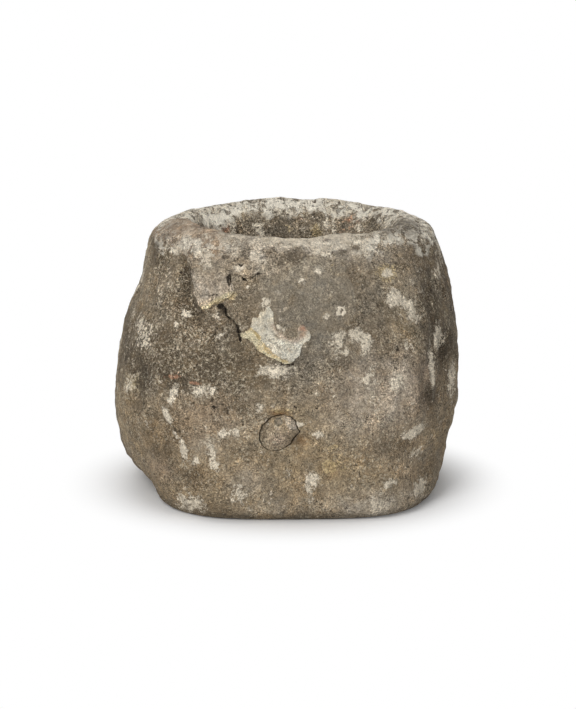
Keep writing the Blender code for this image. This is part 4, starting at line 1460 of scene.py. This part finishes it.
def seen_directly(tree):
    """1 for what the camera or a shiny surface sees, and 0 for what only lights something."""
    path = tree.nodes.new("ShaderNodeLightPath")
    seen = tree.nodes.new("ShaderNodeMath")
    seen.operation = "MAXIMUM"
    for socket, ray in zip(seen.inputs, ("Is Camera Ray", "Is Glossy Ray")):
        tree.links.new(path.outputs[ray], socket)
    return seen.outputs[0]


def end_in_mix(tree, share, plain, white, output):
    """Ends a tree in a plain shader with a share of a white one."""
    mixed = tree.nodes.new("ShaderNodeMixShader")
    for socket, source in zip(mixed.inputs, (share, plain.outputs[0], white.outputs[0])):
        tree.links.new(source, socket)
    tree.links.new(mixed.outputs[0], tree.nodes[output].inputs["Surface"])


def floor_finish(colour):
    """A pale floor that shows the trough's shadow, and farther out the background's white."""
    r = Recipe("pale floor")
    r.shader.inputs["Base Color"].default_value = (*colour, 1.0)
    r.shader.inputs["Roughness"].default_value = 0.9
    r.shader.inputs["Specular IOR Level"].default_value = 0.1
    glow = r.node("ShaderNodeEmission")
    glow.inputs["Strength"].default_value = 1.0
    far = r.node("ShaderNodeVectorMath", operation="LENGTH")
    r.put(far.inputs[0], r.place)
    share = r.times(seen_directly(r.tree), r.fade(far.outputs["Value"], WHITE_FROM, WHITE_TO))
    end_in_mix(r.tree, share, r.shader, glow, "Material Output")
    return r.finish


class TROUGH_OT_stage(Operator):
    """Lay the pale floor, the soft light and the camera"""

    bl_idname = "trough.stage"
    bl_label = "Stage"

    def execute(self, context):
        stage = context.scene.trough_stage
        bm = bmesh.new()
        bmesh.ops.create_grid(bm, x_segments=8, y_segments=8, size=FLOOR_REACH)
        floor = object_from("floor", bm)
        floor.data.materials.append(floor_finish(stage.floor_colour))

        sky = bpy.data.worlds.new("studio")
        context.scene.world = sky
        sky.use_nodes = True
        light = sky.node_tree.nodes["Background"]
        white = sky.node_tree.nodes.new("ShaderNodeBackground")
        light.inputs["Strength"].default_value = stage.sky_light
        for shader in (light, white):
            shader.inputs["Color"].default_value = WHITE
        end_in_mix(sky.node_tree, seen_directly(sky.node_tree), light, white, "World Output")

        softbox("key softbox", KEY_PLACE, KEY_SIZE, stage.key_light)
        softbox("top softbox", TOP_PLACE, TOP_SIZE, stage.top_light)

        lens = bpy.data.cameras.new("camera")
        lens.lens = CAMERA_LENS
        lens.sensor_width = CAMERA_SENSOR
        camera = bpy.data.objects.new("camera", lens)
        camera.location = CAMERA_PLACE
        aim(camera, CAMERA_TARGET)
        context.scene.collection.objects.link(camera)
        context.scene.camera = camera
        context.scene.view_settings.view_transform = "Standard"
        return {"FINISHED"}


class StoneSettings(PropertyGroup):
    mesh_size: FloatProperty(
        name="Mesh size", description="Edge length of the worked form's mesh", default=0.00365, unit="LENGTH"
    )
    weather_depth: FloatProperty(
        name="Weather depth", description="Depth of the weathered unevenness", default=0.0010, unit="LENGTH"
    )


class MortarSettings(PropertyGroup):
    cap_proud: FloatProperty(
        name="Cap stands out", description="Height of the cap's edge", default=0.0024, unit="LENGTH"
    )
    fill_proud: FloatProperty(
        name="Fill stands out", description="Height of the fill's left edge", default=0.0010, unit="LENGTH"
    )
    lime_proud: FloatProperty(
        name="Lime stands out", description="Height of the lime on the fill", default=0.0016, unit="LENGTH"
    )


class BungSettings(PropertyGroup):
    gap: FloatProperty(
        name="Gap", description="Usual gap round the bung in its hole", default=0.0010, unit="LENGTH"
    )
    mouth_wear: FloatProperty(
        name="Mouth wear", description="Wear of the hole's mouth", default=0.0007, unit="LENGTH"
    )


class StageSettings(PropertyGroup):
    floor_colour: FloatVectorProperty(
        name="Floor",
        description="Colour of the floor",
        default=(0.90, 0.90, 0.90),
        subtype="COLOR",
        min=0,
        max=1,
    )
    key_light: FloatProperty(name="Key", description="Power of the key softbox", default=46.0, unit="POWER")
    top_light: FloatProperty(name="Top", description="Power of the top softbox", default=22.0, unit="POWER")
    sky_light: FloatProperty(name="Sky", description="Strength of the even light all round", default=0.31)


STEPS = (
    TROUGH_OT_worked_form,
    TROUGH_OT_block,
    TROUGH_OT_mortar,
    TROUGH_OT_chip,
    TROUGH_OT_bung,
    TROUGH_OT_stage,
)
SETTINGS = {
    "trough_stone": StoneSettings,
    "trough_mortar": MortarSettings,
    "trough_bung": BungSettings,
    "trough_stage": StageSettings,
}


class TROUGH_PT_build(Panel):
    """Lists the trough's steps and settings"""

    bl_idname = "TROUGH_PT_build"
    bl_label = "Limestone trough"
    bl_space_type = "VIEW_3D"
    bl_region_type = "UI"
    bl_category = "Trough"

    def draw(self, context):
        for step in STEPS:
            self.layout.operator(step.bl_idname)
        for name, group in SETTINGS.items():
            box = self.layout.box()
            settings = getattr(context.scene, name)
            for field in group.__annotations__:
                box.prop(settings, field)


def register():
    for made in (*SETTINGS.values(), *STEPS, TROUGH_PT_build):
        bpy.utils.register_class(made)
    for name, group in SETTINGS.items():
        setattr(bpy.types.Scene, name, PointerProperty(type=group))


def unregister():
    for name in SETTINGS:
        delattr(bpy.types.Scene, name)
    for made in reversed((*SETTINGS.values(), *STEPS, TROUGH_PT_build)):
        bpy.utils.unregister_class(made)


def main():
    register()
    bpy.ops.trough.worked_form()
    bpy.ops.trough.block()
    bpy.ops.trough.mortar()
    bpy.ops.trough.chip()
    bpy.ops.trough.bung()
    for made in [o for o in bpy.data.objects if o.get("trough_guide")]:
        remove_object(made)
    bpy.ops.trough.stage()


if __name__ == "__main__":
    main()
